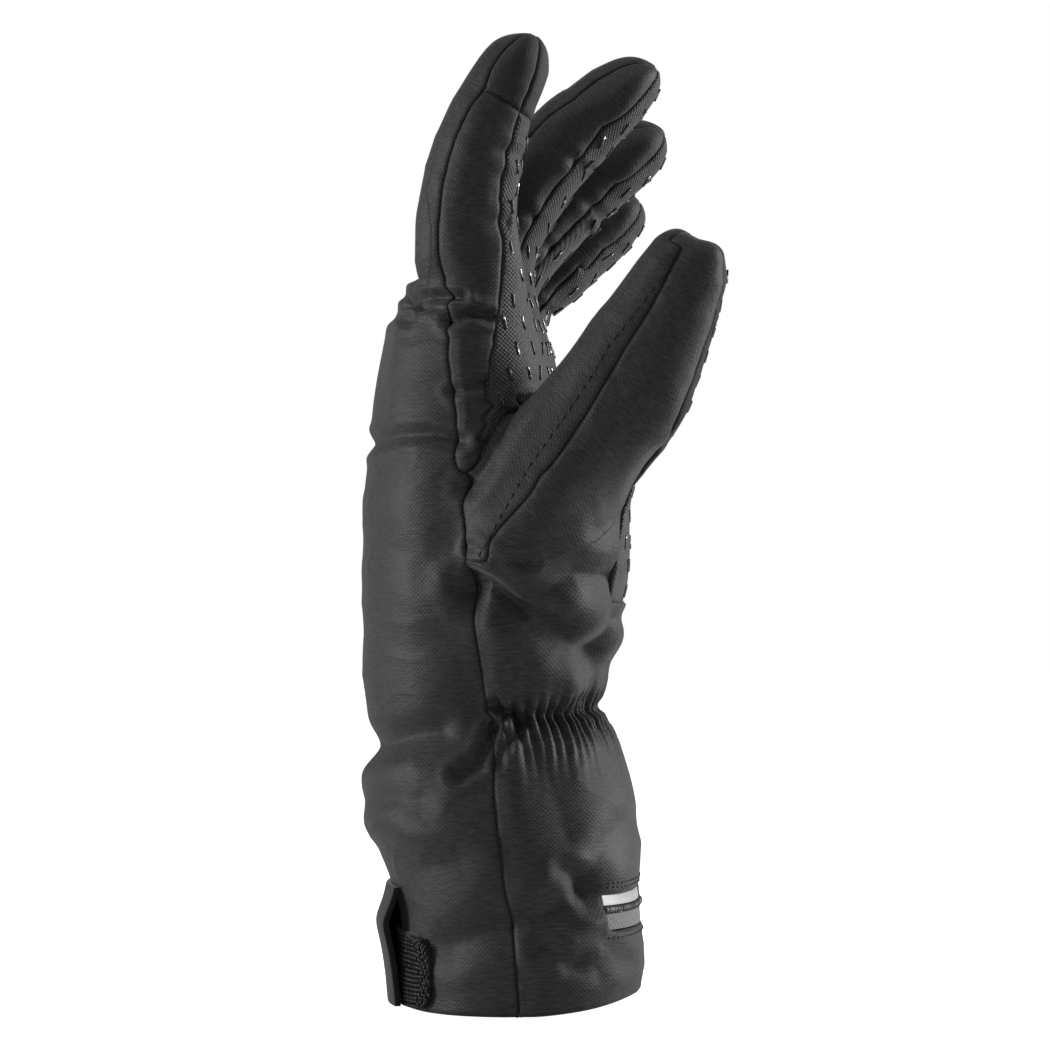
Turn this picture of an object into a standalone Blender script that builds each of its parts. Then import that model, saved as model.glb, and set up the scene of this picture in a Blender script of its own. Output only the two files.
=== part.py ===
"""Padded softshell glove for the left hand, fingers up, shown as it stands on a hand.

The glove is one lofted cage: a body from the hem to the finger crotches, four fingers and a
thumb that leave it at shared crotch lines. Each cage face belongs to a sewn panel. The cage is
subdivided, folded and gathered, and each panel becomes a padded wall of its own.

+Z points to the fingertips, -X is the back of the hand, +X the palm and -Y the thumb side.
The origin lies in the cuff's mouth, level with the hem. Lengths are in metres, angles in degrees.
"""
import math

import bmesh
import bpy
import numpy as np
from mathutils import Matrix, Vector
from mathutils.bvhtree import BVHTree

# Body of the glove
BODY_HEIGHT = 0.2132
BODY_DEPTH = 0.0800
BODY_BREADTH = 0.1080
WALL = 0.0034
SEAM_GAP = 0.0003
SEAM_PINCH = 0.0009
SECTION_POWER = 2.3
THENAR_BULGE = 0.0150
HEM_RISE = 0.0050

# Fingers and thumb, measured along their middle lines
INDEX_LENGTH = 0.0880
MIDDLE_LENGTH = 0.0985
RING_LENGTH = 0.0890
LITTLE_LENGTH = 0.0760
FINGER_DEPTH = 0.0262
FINGER_BREADTH = 0.0262
THUMB_LENGTH = 0.0760
THUMB_WIDTH = 0.0400
THUMB_DEPTH = 0.0340

# Closure at the hem
STRAP_HEIGHT = 0.0365
STRAP_THICKNESS = 0.0022
STRAP_LIFT = 0.0062
STRAP_SEAT = 0.0008
HOOK_HEIGHT = 0.0225
HOOK_THICKNESS = 0.0015

# Pocket zip on the palm side of the cuff
ZIP_SINK = 0.0010
ZIP_TAPE = 0.0012
COIL_RADIUS = 0.0009
SLIDER_LENGTH = 0.0085
SLIDER_WIDTH = 0.0062
SLIDER_THICKNESS = 0.0026
PULL_LENGTH = 0.0125
PULL_WIDTH = 0.0046
PULL_THICKNESS = 0.0012

# Rounding of the small blocks, as a share of their thickness
SLIDER_ROUNDING = 0.3
PULL_ROUNDING = 0.4

# Gathers of the wrist elastic. The reach is a share of the row's height above the elastic, and
# the pleats are counted round a circle whose radius is a share of BODY_BREADTH
GATHER_DEPTH = 0.0011
GATHER_CUTS = 3
GATHER_REACH = 0.8
PLEAT_RADIUS = 0.41
PLEAT_PITCH_LIMIT = 0.4

# Fitting of the smooth surface to the sections, and the limits of its folds and rims
FIT_PASSES = 4
FIT_STEP = 0.8
FOLD_LIMIT = 0.7
FOLD_FADE = 0.7
RIM_CORNER_LIMIT = 0.6
RIM_STRAIGHT = 0.98
PANEL_SHARP_ANGLE = 60.0
TRIM_SHARP_ANGLE = 50.0
COIL_POINTS = 14

# Numbers of cage columns round a ring, in the ring's order from the index-side seam
BACK_COLUMNS = 8
LITTLE_SIDE_COLUMNS = 2
PALM_COLUMNS = 8
INDEX_SIDE_COLUMNS = 2
HEEL_COLUMNS = 4
THENAR_COLUMNS = 6
WEB_COLUMNS = PALM_COLUMNS + INDEX_SIDE_COLUMNS - HEEL_COLUMNS
RING_COLUMNS = BACK_COLUMNS + LITTLE_SIDE_COLUMNS + PALM_COLUMNS + INDEX_SIDE_COLUMNS
WEB_START = BACK_COLUMNS + LITTLE_SIDE_COLUMNS + HEEL_COLUMNS
PALM_END = BACK_COLUMNS + LITTLE_SIDE_COLUMNS + PALM_COLUMNS

LITTLE_SEAM_BACK = 155.0
LITTLE_SEAM_PALM = 205.0
WEB_START_ANGLE = 270.0

# Sections of the body. Height is a share of BODY_HEIGHT. Back, front, index seam and side seam
# are shares of BODY_DEPTH along X, thumb and little side are shares of BODY_BREADTH along Y.
# The side seam is the thumb seam up to the web and the palm seam above it.
BODY_SECTIONS = (
    # height, back, front, index seam, side seam, thumb side, little side, thenar
    (0.000, -0.400, 0.495, 0.042, 0.135, 0.460, 0.460, 0.00),
    (0.116, -0.411, 0.512, 0.019, 0.126, 0.480, 0.474, 0.00),
    (0.166, -0.426, 0.495, -0.008, 0.107, 0.482, 0.478, 0.00),
    (0.214, -0.495, 0.490, -0.023, 0.084, 0.488, 0.480, 0.00),
    (0.271, -0.556, 0.475, -0.038, 0.069, 0.488, 0.480, 0.00),
    (0.321, -0.556, 0.450, -0.050, 0.054, 0.474, 0.465, 0.00),
    (0.371, -0.514, 0.396, -0.046, 0.046, 0.440, 0.430, 0.00),
    (0.417, -0.537, 0.328, -0.065, 0.015, 0.412, 0.400, 0.03),
    (0.464, -0.552, 0.368, -0.088, -0.015, 0.428, 0.420, 0.10),
    (0.514, -0.560, 0.410, -0.110, -0.042, 0.455, 0.450, 0.22),
    (0.571, -0.556, 0.415, -0.126, -0.076, 0.474, 0.474, 0.38),
    (0.629, -0.556, 0.396, -0.141, -0.103, 0.482, 0.484, 0.62),
    (0.686, -0.552, 0.335, -0.158, -0.030, 0.486, 0.490, 0.96),
    (0.737, -0.545, 0.300, -0.170, 0.046, 0.490, 0.494, 1.30),
    (0.800, -0.530, 0.250, -0.176, -0.120, 0.494, 0.494, 0.00),
    (0.864, -0.510, 0.190, -0.200, -0.070, 0.494, 0.490, 0.00),
    (0.936, -0.474, 0.148, -0.224, -0.050, 0.488, 0.484, 0.00),
    (1.000, -0.400, 0.110, -0.232, -0.053, 0.476, 0.474, 0.00),
)
LOWER_ROWS = len(BODY_SECTIONS) - 5
UPPER_ROWS = 4

# How much of the thenar bulge each column from the web's start to the index seam takes
THENAR_SHARES = (0.10, 0.70, 1.02, 1.10, 1.10, 0.85, 0.10)

# Crotch line between the thumb and the hand, from the index seam to the palm:
# height as a share of BODY_HEIGHT, X as a share of BODY_DEPTH
WEB_LINE = (
    # height, x
    (0.760, -0.137),
    (0.786, -0.107),
    (0.829, -0.030),
    (0.869, 0.076),
    (0.829, 0.190),
)

# Tops of the body's columns as shares of BODY_HEIGHT, from the index side to the little side
BACK_TOPS = (1.000, 1.005, 1.005, 1.010, 1.000, 0.990, 0.975, 0.950, 0.915)
PALM_TOPS = (0.950, 0.950, 0.945, 0.940, 0.935, 0.925, 0.905, 0.885, 0.860)

# Finger sections: share of the length, lean of the middle line toward the palm in degrees,
# depth and breadth as shares of FINGER_DEPTH and FINGER_BREADTH
INDEX_ROWS = (
    # along, lean, depth, breadth
    (0.15, -6.0, 1.26, 0.92),
    (0.34, -2.0, 1.15, 0.98),
    (0.53, 11.0, 1.07, 0.99),
    (0.72, 22.0, 0.93, 0.92),
    (0.90, 27.0, 0.70, 0.72),
    (1.00, 34.0, 0.00, 0.00),
)
MIDDLE_ROWS = (
    (0.15, 12.0, 1.10, 0.90),
    (0.34, 23.0, 1.04, 0.94),
    (0.53, 35.0, 0.97, 0.95),
    (0.72, 45.0, 0.90, 0.88),
    (0.90, 53.0, 0.68, 0.68),
    (1.00, 58.0, 0.00, 0.00),
)
RING_ROWS = (
    (0.16, 22.0, 1.04, 0.88),
    (0.34, 34.0, 0.98, 0.92),
    (0.53, 44.0, 0.92, 0.93),
    (0.72, 50.0, 0.88, 0.87),
    (0.90, 55.0, 0.70, 0.68),
    (1.00, 58.0, 0.00, 0.00),
)
LITTLE_ROWS = (
    (0.24, 33.0, 0.98, 0.85),
    (0.48, 47.0, 0.90, 0.86),
    (0.72, 49.0, 0.86, 0.80),
    (0.91, 50.0, 0.68, 0.62),
    (1.00, 52.0, 0.00, 0.00),
)
# Name, length, sections, sideways spread of the tip as a share of the length,
# angle of the back seams and of the palm seams from the back's middle
FINGERS = (
    ("index", INDEX_LENGTH, INDEX_ROWS, -0.08, 62.0, 131.0),
    ("middle", MIDDLE_LENGTH, MIDDLE_ROWS, -0.01, 48.0, 124.0),
    ("ring", RING_LENGTH, RING_ROWS, 0.05, 48.0, 124.0),
    ("little", LITTLE_LENGTH, LITTLE_ROWS, 0.12, 48.0, 124.0),
)
INDEX_TIP_ROW = 4
INDEX_TIP_TILT = 12.0
FINGER_SIDE_ANGLE = 92.0

# Thumb sections: X, height and side position of the middle line as shares of THUMB_LENGTH from
# the thumb's root, lean in degrees, width and depth as shares of THUMB_WIDTH and THUMB_DEPTH
THUMB_ROOT = (0.240, -0.450, 0.761)
THUMB_ROWS = (
    # x, height, side, lean, width, depth
    (0.163, 0.250, -0.040, 28.0, 1.010, 1.00),
    (0.238, 0.385, -0.060, 29.0, 0.930, 0.98),
    (0.334, 0.555, -0.085, 29.0, 0.810, 0.92),
    (0.400, 0.700, -0.105, 27.0, 0.695, 0.82),
    (0.445, 0.820, -0.120, 24.0, 0.520, 0.62),
    (0.462, 0.905, -0.130, 20.0, 0.000, 0.00),
)
THUMB_ANGLES = (-45.0, -15.0, 15.0, 45.0, 75.0, 105.0, 135.0, 168.0, 202.0, 230.0, 256.0, 285.0)

# Rows and columns where panels change
GRIP_END_ROW = 10
THUMB_SEAM_ROW = 11
WRIST_ROW = 7
ZIP_ROW = 1
ZIP_COLUMNS = (11, 17)
GRIP_THENAR_COLUMNS = 2

# Broad folds of the outer face, seen from the thumb side. Places are shares of BODY_HEIGHT and
# BODY_DEPTH, half width and depth are shares of WALL. A negative depth is a ridge.
FOLDS = (
    # from height, from x, to height, to x, half width, depth
    (0.793, -0.540, 0.800, -0.185, 1.6, 0.42),
    (1.000, -0.380, 1.000, -0.180, 1.6, 0.45),
    (0.590, -0.120, 0.492, 0.320, 2.2, 0.42),
    (0.612, 0.120, 0.604, 0.360, 1.8, 0.38),
    (0.555, 0.390, 0.430, 0.280, 1.8, 0.36),
    (0.364, -0.500, 0.386, -0.260, 2.0, 0.34),
    (0.320, -0.190, 0.386, -0.060, 1.8, 0.38),
    (0.420, -0.056, 0.400, 0.040, 1.6, 0.34),
    (0.290, -0.500, 0.286, -0.360, 1.6, 0.26),
    (0.086, -0.200, 0.136, 0.290, 2.6, 0.26),
    (0.640, -0.100, 0.520, 0.300, 2.4, -0.24),
)

# The strap's places round the cuff and the share of its lift that it has at each of them
STRAP_COURSE = (
    # angle, lift
    (64.0, 1.00),
    (72.0, 0.98),
    (82.0, 0.92),
    (93.0, 0.80),
    (105.0, 0.58),
    (117.0, 0.34),
    (129.0, 0.12),
    (141.0, 0.00),
    (152.0, 0.00),
)
# The strap's form across its height, seen from its free end: share of the height, share of lift
STRAP_PROFILE = (
    # height, lift
    (0.02, 0.46),
    (0.22, 0.52),
    (0.44, 0.66),
    (0.62, 0.88),
    (0.72, 1.00),
    (0.86, 0.52),
    (1.00, 0.06),
)
# Angles of the hook patch and its half height at each as a share of HOOK_HEIGHT / 2
HOOK_COURSE = (
    # angle, half height
    (43.0, 0.42),
    (45.0, 0.72),
    (49.0, 0.93),
    (55.0, 1.00),
    (66.0, 1.00),
    (78.0, 1.00),
    (90.0, 1.00),
)

PANELS = (
    "back_panel",
    "front_panel",
    "palm_grip",
    "thumb_grip",
    "thumb_back",
    "index_side",
    "index_tip_side",
    "index_tip_pad",
    "fourchette_index_middle",
    "fourchette_middle_ring",
    "fourchette_ring_little",
    "zip_tape_upper",
    "zip_tape_lower",
)
# Base colour, roughness and metallic value of each material
MATERIALS = {
    "softshell": ((0.040, 0.040, 0.042), 0.72, 0.0),
    "grip_fabric": ((0.018, 0.018, 0.019), 0.62, 0.0),
    "touch_fabric": ((0.034, 0.034, 0.036), 0.66, 0.0),
    "zip_tape": ((0.300, 0.300, 0.305), 0.60, 0.0),
    "zip_coil": ((0.340, 0.340, 0.345), 0.45, 0.0),
    "slider_metal": ((0.220, 0.220, 0.225), 0.35, 0.9),
    "strap": ((0.022, 0.022, 0.023), 0.70, 0.0),
    "hook_tape": ((0.012, 0.012, 0.012), 0.80, 0.0),
}
PANEL_MATERIALS = {
    "palm_grip": "grip_fabric",
    "thumb_grip": "grip_fabric",
    "index_tip_side": "touch_fabric",
    "index_tip_pad": "touch_fabric",
    "zip_tape_upper": "zip_tape",
    "zip_tape_lower": "zip_tape",
}


def clear_scene():
    for item in list(bpy.data.objects):
        bpy.data.objects.remove(item, do_unlink=True)


def make_collection(name):
    collection = bpy.data.collections.new(name)
    bpy.context.scene.collection.children.link(collection)
    return collection


def make_materials():
    materials = {}
    for name, (colour, roughness, metallic) in MATERIALS.items():
        material = bpy.data.materials.new(name)
        material.use_nodes = True
        shader = material.node_tree.nodes["Principled BSDF"]
        shader.inputs["Base Color"].default_value = (*colour, 1.0)
        shader.inputs["Roughness"].default_value = roughness
        shader.inputs["Metallic"].default_value = metallic
        materials[name] = material
    return materials


def power(value, exponent):
    """A signed power, which rounds a circle's sine or cosine into a superellipse's."""
    return math.copysign(abs(value) ** exponent, value)


def section_at(height):
    """The body's section at a height share, read between the rows of the table."""
    rows = np.array(BODY_SECTIONS)
    return [float(np.interp(height, rows[:, 0], rows[:, column])) for column in range(1, 8)]


def outline_point(height, angle):
    """A point of the body without the thenar. Angle 0 is the thumb side, 90 the back."""
    back, front, _, _, thumb_side, little_side, _ = section_at(height)
    middle = (back + front) / 2
    half = (front - back) / 2
    turn = math.radians(angle)
    across = power(math.cos(turn), 2 / SECTION_POWER)
    breadth = thumb_side if across > 0 else little_side
    x = (middle - half * power(math.sin(turn), 2 / SECTION_POWER)) * BODY_DEPTH
    y = -across * breadth * BODY_BREADTH
    return Vector((x, y, height * BODY_HEIGHT))


def seam_angle(height, x_share):
    """The angle at which the thumb side of a section has a given X."""
    back, front = section_at(height)[:2]
    middle = (back + front) / 2
    half = (front - back) / 2
    ratio = max(-0.999, min(0.999, (middle - x_share) / half))
    return math.degrees(math.asin(power(ratio, SECTION_POWER / 2)))


def spread(first, last, count):
    """Evenly spaced values from first to last, both included."""
    return [first + (last - first) * step / count for step in range(count + 1)]


def even_breadth(first, last, count):
    """Angles from first to last, on one half of the ring, evenly spaced across the breadth."""
    ends = [power(math.cos(math.radians(angle)), 2 / SECTION_POWER) for angle in (first, last)]
    turns = [math.degrees(math.acos(power(share, SECTION_POWER / 2)))
             for share in spread(*ends, count)]
    return [360.0 - turn for turn in turns] if last > 180.0 else turns


def lower_angles(row):
    """Angles of the ring's columns on a body row up to the web."""
    height, _, _, index_seam, side_seam = BODY_SECTIONS[row][:5]
    first = seam_angle(height, index_seam)
    thumb_seam = 360.0 + seam_angle(height, side_seam)
    angles = spread(first, LITTLE_SEAM_BACK, BACK_COLUMNS)
    angles += spread(LITTLE_SEAM_BACK, LITTLE_SEAM_PALM, LITTLE_SIDE_COLUMNS)[1:]
    angles += spread(LITTLE_SEAM_PALM, WEB_START_ANGLE, HEEL_COLUMNS)[1:]
    angles += spread(WEB_START_ANGLE, thumb_seam, THENAR_COLUMNS - 1)[1:]
    return angles


def lower_ring(row):
    """The ring of a body row up to the web, with the thenar bulge of the thumb's root."""
    height = BODY_SECTIONS[row][0]
    bulge = BODY_SECTIONS[row][7] * THENAR_BULGE
    ring = []
    for column, angle in enumerate(lower_angles(row)):
        point = outline_point(height, angle)
        if column >= WEB_START:
            share = THENAR_SHARES[column - WEB_START]
            turn = math.radians(angle)
            outward = Vector((-math.sin(turn), -math.cos(turn), 0))
            point += outward * bulge * share
        if row == 0:
            point.z += HEM_RISE * max(0.0, point.x / (BODY_DEPTH / 2)) ** 2
        ring.append(point)
    return ring


def web_angles():
    """Height share and angle of the web's points, from the palm to the index seam."""
    line = []
    for height, x_share in reversed(WEB_LINE):
        line.append((height, 360.0 + seam_angle(height, x_share)))
    return line


def upper_points():
    """Points of the hand above the web: a list of rings, the first of them on the web line."""
    split = BODY_SECTIONS[LOWER_ROWS][0]
    starts = [(split, angle) for angle in lower_angles(LOWER_ROWS)[:WEB_START + 1]]
    starts += web_angles()
    back_seam = seam_angle(1.0, BODY_SECTIONS[-1][3])
    palm_seam = 360.0 + seam_angle(1.0, BODY_SECTIONS[-1][4])
    tops = list(zip(BACK_TOPS, even_breadth(back_seam, LITTLE_SEAM_BACK, BACK_COLUMNS)))
    middle = (BACK_TOPS[-1] + PALM_TOPS[-1]) / 2
    tops.append((middle, (LITTLE_SEAM_BACK + LITTLE_SEAM_PALM) / 2))
    palm_angles = even_breadth(LITTLE_SEAM_PALM, palm_seam, PALM_COLUMNS)
    tops += list(zip(reversed(PALM_TOPS), palm_angles))
    middle = (BACK_TOPS[0] + PALM_TOPS[0]) / 2
    tops.append((middle, (palm_seam + 360.0 + back_seam) / 2))
    rings = []
    for row in range(1, UPPER_ROWS + 1):
        ring = []
        for column, ((low, first), (high, last)) in enumerate(zip(starts, tops)):
            part = row / UPPER_ROWS
            height = low + (high - low) * part
            angle = first + (last - first) * part
            if column == 0:
                table = np.array(BODY_SECTIONS[LOWER_ROWS:])
                angle = seam_angle(height, float(np.interp(height, table[:, 0], table[:, 3])))
            ring.append(outline_point(height, angle))
        rings.append(ring)
    web = [outline_point(height, angle) for height, angle in web_angles()]
    return web, rings


class Cage:
    """Points and faces of the coarse form, with the panel of each face."""

    def __init__(self):
        self.points = []
        self.faces = []
        self.panels = []

    def add_points(self, points):
        start = len(self.points)
        self.points += [Vector(point) for point in points]
        return list(range(start, len(self.points)))

    def add_face(self, corners, panel):
        self.faces.append(tuple(corners))
        self.panels.append(PANELS.index(panel))

    def bridge(self, low, high, panel_of):
        """Quads between two rings of as many points, low toward the hem."""
        count = len(low)
        for column in range(count):
            after = (column + 1) % count
            corners = (low[after], low[column], high[column], high[after])
            self.add_face(corners, panel_of(column))

    def cap(self, ring, tip, panel_of):
        """Quads from every second ring point to one tip point."""
        centre = self.add_points([tip])[0]
        count = len(ring)
        for column in range(0, count, 2):
            last = ring[(column + 2) % count]
            self.add_face((centre, last, ring[column + 1], ring[column]), panel_of(column))


def lower_panel(row, column):
    """The panel of a body face below the web."""
    if column < BACK_COLUMNS + LITTLE_SIDE_COLUMNS:
        return "back_panel"
    if row == ZIP_ROW and ZIP_COLUMNS[0] <= column < ZIP_COLUMNS[1]:
        return "zip_tape_upper"
    if row >= GRIP_END_ROW and column < WEB_START + GRIP_THENAR_COLUMNS:
        return "palm_grip"
    if row >= THUMB_SEAM_ROW and column == RING_COLUMNS - 1:
        return "thumb_back"
    return "front_panel"


def upper_panel(column):
    """The panel of a face between the web and the finger crotches."""
    if column < BACK_COLUMNS + LITTLE_SIDE_COLUMNS:
        return "back_panel"
    if column < PALM_END:
        return "palm_grip"
    return "index_side"


def finger_panel(finger, row, column):
    """The panel of a finger's face. Columns go round from the palm's thumb-side seam."""
    thumbward = column < 2
    back = 2 <= column < 4
    palm = column >= 6
    if back:
        return "back_panel"
    if finger == 0 and row >= INDEX_TIP_ROW and (thumbward or palm):
        return "index_tip_side" if thumbward else "index_tip_pad"
    if palm:
        return "palm_grip"
    if finger == 0 and thumbward:
        return "index_side"
    if finger == 3 and not thumbward:
        return "back_panel"
    webs = PANELS[PANELS.index("fourchette_index_middle"):]
    return webs[finger - 1] if thumbward else webs[finger]


def thumb_panel(column):
    """The panel of a thumb face. Columns go round from the index seam over the far side."""
    if column < 3 or column == len(THUMB_ANGLES) - 1:
        return "thumb_back"
    if column < WEB_COLUMNS + GRIP_THENAR_COLUMNS:
        return "thumb_grip"
    return "front_panel"


def finger_ring(centre, lean, depth, breadth, back_seam, palm_seam):
    """Eight points round a finger, from the palm's thumb-side seam over the back."""
    turn = math.radians(lean)
    backward = Vector((-math.cos(turn), 0, math.sin(turn)))
    thumbward = Vector((0, -1, 0))
    angles = (palm_seam, FINGER_SIDE_ANGLE, back_seam, 0, -back_seam)
    angles += (-FINGER_SIDE_ANGLE, -palm_seam, 180)
    ring = []
    for angle in angles:
        swing = math.radians(angle)
        along = power(math.cos(swing), 2 / SECTION_POWER) * depth / 2
        aside = power(math.sin(swing), 2 / SECTION_POWER) * breadth / 2
        ring.append(centre + backward * along + thumbward * aside)
    return ring


def add_finger(cage, finger, base_ring):
    """A finger's rings and tip, from its base ring of eight cage points."""
    _, length, rows, splay, back_seam, palm_seam = FINGERS[finger]
    base = [cage.points[index] for index in base_ring]
    centre = sum(base, Vector()) / len(base)
    ring = base_ring
    reached = 0.0
    for row, (along, lean, depth, breadth) in enumerate(rows):
        step = (along - reached) * length
        turn = math.radians(lean)
        centre = centre + Vector((math.sin(turn), splay, math.cos(turn))) * step
        reached = along

        def panel_of(column, row=row):
            return finger_panel(finger, row, column)

        if depth == 0.0:
            cage.cap(ring, centre, panel_of)
        else:
            size = (depth * FINGER_DEPTH, breadth * FINGER_BREADTH)
            if finger == 0 and row == INDEX_TIP_ROW - 1:
                lean += INDEX_TIP_TILT
            points = finger_ring(centre, lean, *size, back_seam, palm_seam)
            following = cage.add_points(points)
            cage.bridge(ring, following, panel_of)
            ring = following


def add_thumb(cage, base_ring):
    """The thumb's rings and tip, from its base ring on the web line."""
    root = Vector((THUMB_ROOT[0] * BODY_DEPTH, THUMB_ROOT[1] * BODY_BREADTH,
                   THUMB_ROOT[2] * BODY_HEIGHT))
    ring = base_ring
    for x, height, side, lean, width, depth in THUMB_ROWS:
        centre = root + Vector((x, side, height)) * THUMB_LENGTH
        if width == 0.0:
            cage.cap(ring, centre, thumb_panel)
            return
        turn = math.radians(lean)
        leftward = Vector((-math.cos(turn), 0, math.sin(turn)))
        points = []
        for angle in THUMB_ANGLES:
            swing = math.radians(angle)
            across = power(math.cos(swing), 2 / SECTION_POWER) * width * THUMB_WIDTH / 2
            away = power(math.sin(swing), 2 / SECTION_POWER) * depth * THUMB_DEPTH / 2
            points.append(centre + leftward * across + Vector((0, 1, 0)) * away)
        following = cage.add_points(points)
        cage.bridge(ring, following, thumb_panel)
        ring = following


def build_cage():
    """The whole glove as a coarse cage."""
    cage = Cage()
    rings = [cage.add_points(lower_ring(row)) for row in range(LOWER_ROWS + 1)]
    for row in range(LOWER_ROWS):
        cage.bridge(rings[row], rings[row + 1], lambda column, row=row: lower_panel(row, column))
    split = rings[-1]
    web_points, upper_rings = upper_points()
    web = cage.add_points(web_points)
    ring = split[:WEB_START + 1] + web
    for points in upper_rings:
        following = cage.add_points(points)
        cage.bridge(ring, following, upper_panel)
        ring = following
    add_thumb(cage, [split[0]] + web[::-1] + split[WEB_START:])
    crotches = []
    for gap in range(3):
        back = cage.points[ring[2 * gap + 2]]
        palm = cage.points[ring[PALM_END - 2 * gap - 2]]
        crotches += cage.add_points([(back + palm) / 2])
    for finger in range(4):
        back = [ring[2 * finger + step] for step in range(3)]
        palm = [ring[PALM_END - 2 * finger - step] for step in range(3)]
        near = ring[RING_COLUMNS - 1] if finger == 0 else crotches[finger - 1]
        far = ring[BACK_COLUMNS + 1] if finger == 3 else crotches[finger]
        add_finger(cage, finger, [palm[0], near, *back, far, palm[2], palm[1]])
    return cage


def subdivided(points, cage):
    """The cage's smooth surface, one step finer, as a new mesh."""
    mesh = bpy.data.meshes.new("cage")
    mesh.from_pydata([tuple(point) for point in points], [], cage.faces)
    mesh.polygons.foreach_set("material_index", cage.panels)
    cage_object = bpy.data.objects.new("cage", mesh)
    bpy.context.scene.collection.objects.link(cage_object)
    for _ in PANELS:
        mesh.materials.append(None)
    modifier = cage_object.modifiers.new("smooth", "SUBSURF")
    modifier.levels = 1
    modifier.render_levels = 1
    bpy.context.view_layer.update()
    evaluated = cage_object.evaluated_get(bpy.context.evaluated_depsgraph_get())
    fine = bpy.data.meshes.new_from_object(evaluated)
    bpy.data.objects.remove(cage_object, do_unlink=True)
    return fine


def fitted_surface(cage):
    """The subdivided cage, moved so that its surface runs through the wanted points."""
    wanted = np.array([tuple(point) for point in cage.points])
    points = wanted.copy()
    for _ in range(FIT_PASSES):
        fine = subdivided(points, cage)
        reached = np.array([tuple(vertex.co) for vertex in fine.vertices[:len(points)]])
        points += FIT_STEP * (wanted - reached)
        bpy.data.meshes.remove(fine)
    return subdivided(points, cage)


def gather_edges(form):
    """Finer columns along the wrist's elastic, on the front panel."""
    front = PANELS.index("front_panel")
    middle = BODY_SECTIONS[WRIST_ROW][0] * BODY_HEIGHT
    row_height = (BODY_SECTIONS[WRIST_ROW + 1][0] - BODY_SECTIONS[WRIST_ROW][0]) * BODY_HEIGHT
    reach = row_height * GATHER_REACH
    chosen = []
    for edge in form.edges:
        low, high = (vertex.co for vertex in edge.verts)
        level = abs(low.z - high.z) < abs((low - high).xy.length) * 0.5
        near = abs((low.z + high.z) / 2 - middle) < reach
        if level and near and all(face.material_index == front for face in edge.link_faces):
            chosen.append(edge)
    bmesh.ops.subdivide_edges(form, edges=chosen, cuts=GATHER_CUTS, use_grid_fill=True)


def fold_depth(point, normal):
    """How far the outer face is drawn in at a point by the broad folds."""
    facing = min(1.0, max(0.0, FOLD_FADE - normal.y))
    drawn = 0.0
    for low, low_x, high, high_x, half_width, depth in FOLDS:
        first = Vector((low_x * BODY_DEPTH, low * BODY_HEIGHT))
        last = Vector((high_x * BODY_DEPTH, high * BODY_HEIGHT))
        here = Vector((point.x, point.z))
        run = last - first
        part = max(0.0, min(1.0, (here - first).dot(run) / run.length_squared))
        away = (here - first - run * part).length / (half_width * WALL)
        drawn += depth * WALL * math.exp(-away * away) * facing
    return drawn


class Surface:
    """The fine form: outer and inner points, faces and the panel of each face."""

    def __init__(self, mesh):
        form = bmesh.new()
        form.from_mesh(mesh)
        gather_edges(form)
        form.normal_update()
        form.verts.index_update()
        form.faces.index_update()
        self.faces = [[vertex.index for vertex in face.verts] for face in form.faces]
        self.panels = [PANELS[face.material_index] for face in form.faces]
        self.base = [vertex.co.copy() for vertex in form.verts]
        self.normals = [vertex.normal.copy() for vertex in form.verts]
        self.split_zip(form)
        self.owners = [set() for _ in self.base]
        for corners, panel in zip(self.faces, self.panels):
            for index in corners:
                self.owners[index].add(panel)
        self.outer = []
        self.inner = []
        for index, vertex in enumerate(form.verts):
            self.outer.append(self.base[index] - self.normals[index] * self.drawn_in(index, vertex))
            self.inner.append(self.base[index] - self.normals[index] * WALL)
        form.free()

    def split_zip(self, form):
        """The lower half of the zip's window goes to the lower tape."""
        low, high = BODY_SECTIONS[ZIP_ROW][0], BODY_SECTIONS[ZIP_ROW + 1][0]
        middle = (low + high) / 2 * BODY_HEIGHT
        for face in form.faces:
            if self.panels[face.index] == "zip_tape_upper" and face.calc_center_median().z < middle:
                self.panels[face.index] = "zip_tape_lower"

    def drawn_in(self, index, vertex):
        """Depth of the outer face below the smooth form: folds, seams and gathers."""
        depth = 0.0
        if not any(panel.startswith("fourchette") for panel in self.owners[index]):
            depth += fold_depth(self.base[index], self.normals[index])
        if len(self.owners[index]) > 1:
            depth += SEAM_PINCH
        if self.owners[index] == {"front_panel"}:
            depth += self.gather(vertex)
        return min(depth, FOLD_LIMIT * WALL)

    def gather(self, vertex):
        """Pleats beside the wrist's elastic: every second point of the finer columns sinks."""
        middle = BODY_SECTIONS[WRIST_ROW][0] * BODY_HEIGHT
        reach = (BODY_SECTIONS[WRIST_ROW + 1][0] - BODY_SECTIONS[WRIST_ROW][0]) * BODY_HEIGHT
        away = abs(vertex.co.z - middle) / reach
        if away > 1.0:
            return 0.0
        arms = [edge.other_vert(vertex).co for edge in vertex.link_edges]
        pitch = min((arm - vertex.co).length for arm in arms)
        if pitch > reach * PLEAT_PITCH_LIMIT:
            return 0.0
        turn = math.atan2(vertex.co.x, -vertex.co.y)
        place = turn * BODY_BREADTH * PLEAT_RADIUS / pitch
        return GATHER_DEPTH * (1.0 - away) * (1.0 + math.cos(math.pi * round(place)))


def boundary_edges(faces):
    """Directed edges that only one face of the panel has."""
    directed = {}
    for number, corners in enumerate(faces):
        for first, last in zip(corners, corners[1:] + corners[:1]):
            directed[(first, last)] = number
    return {pair: number for pair, number in directed.items() if pair[::-1] not in directed}


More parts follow.
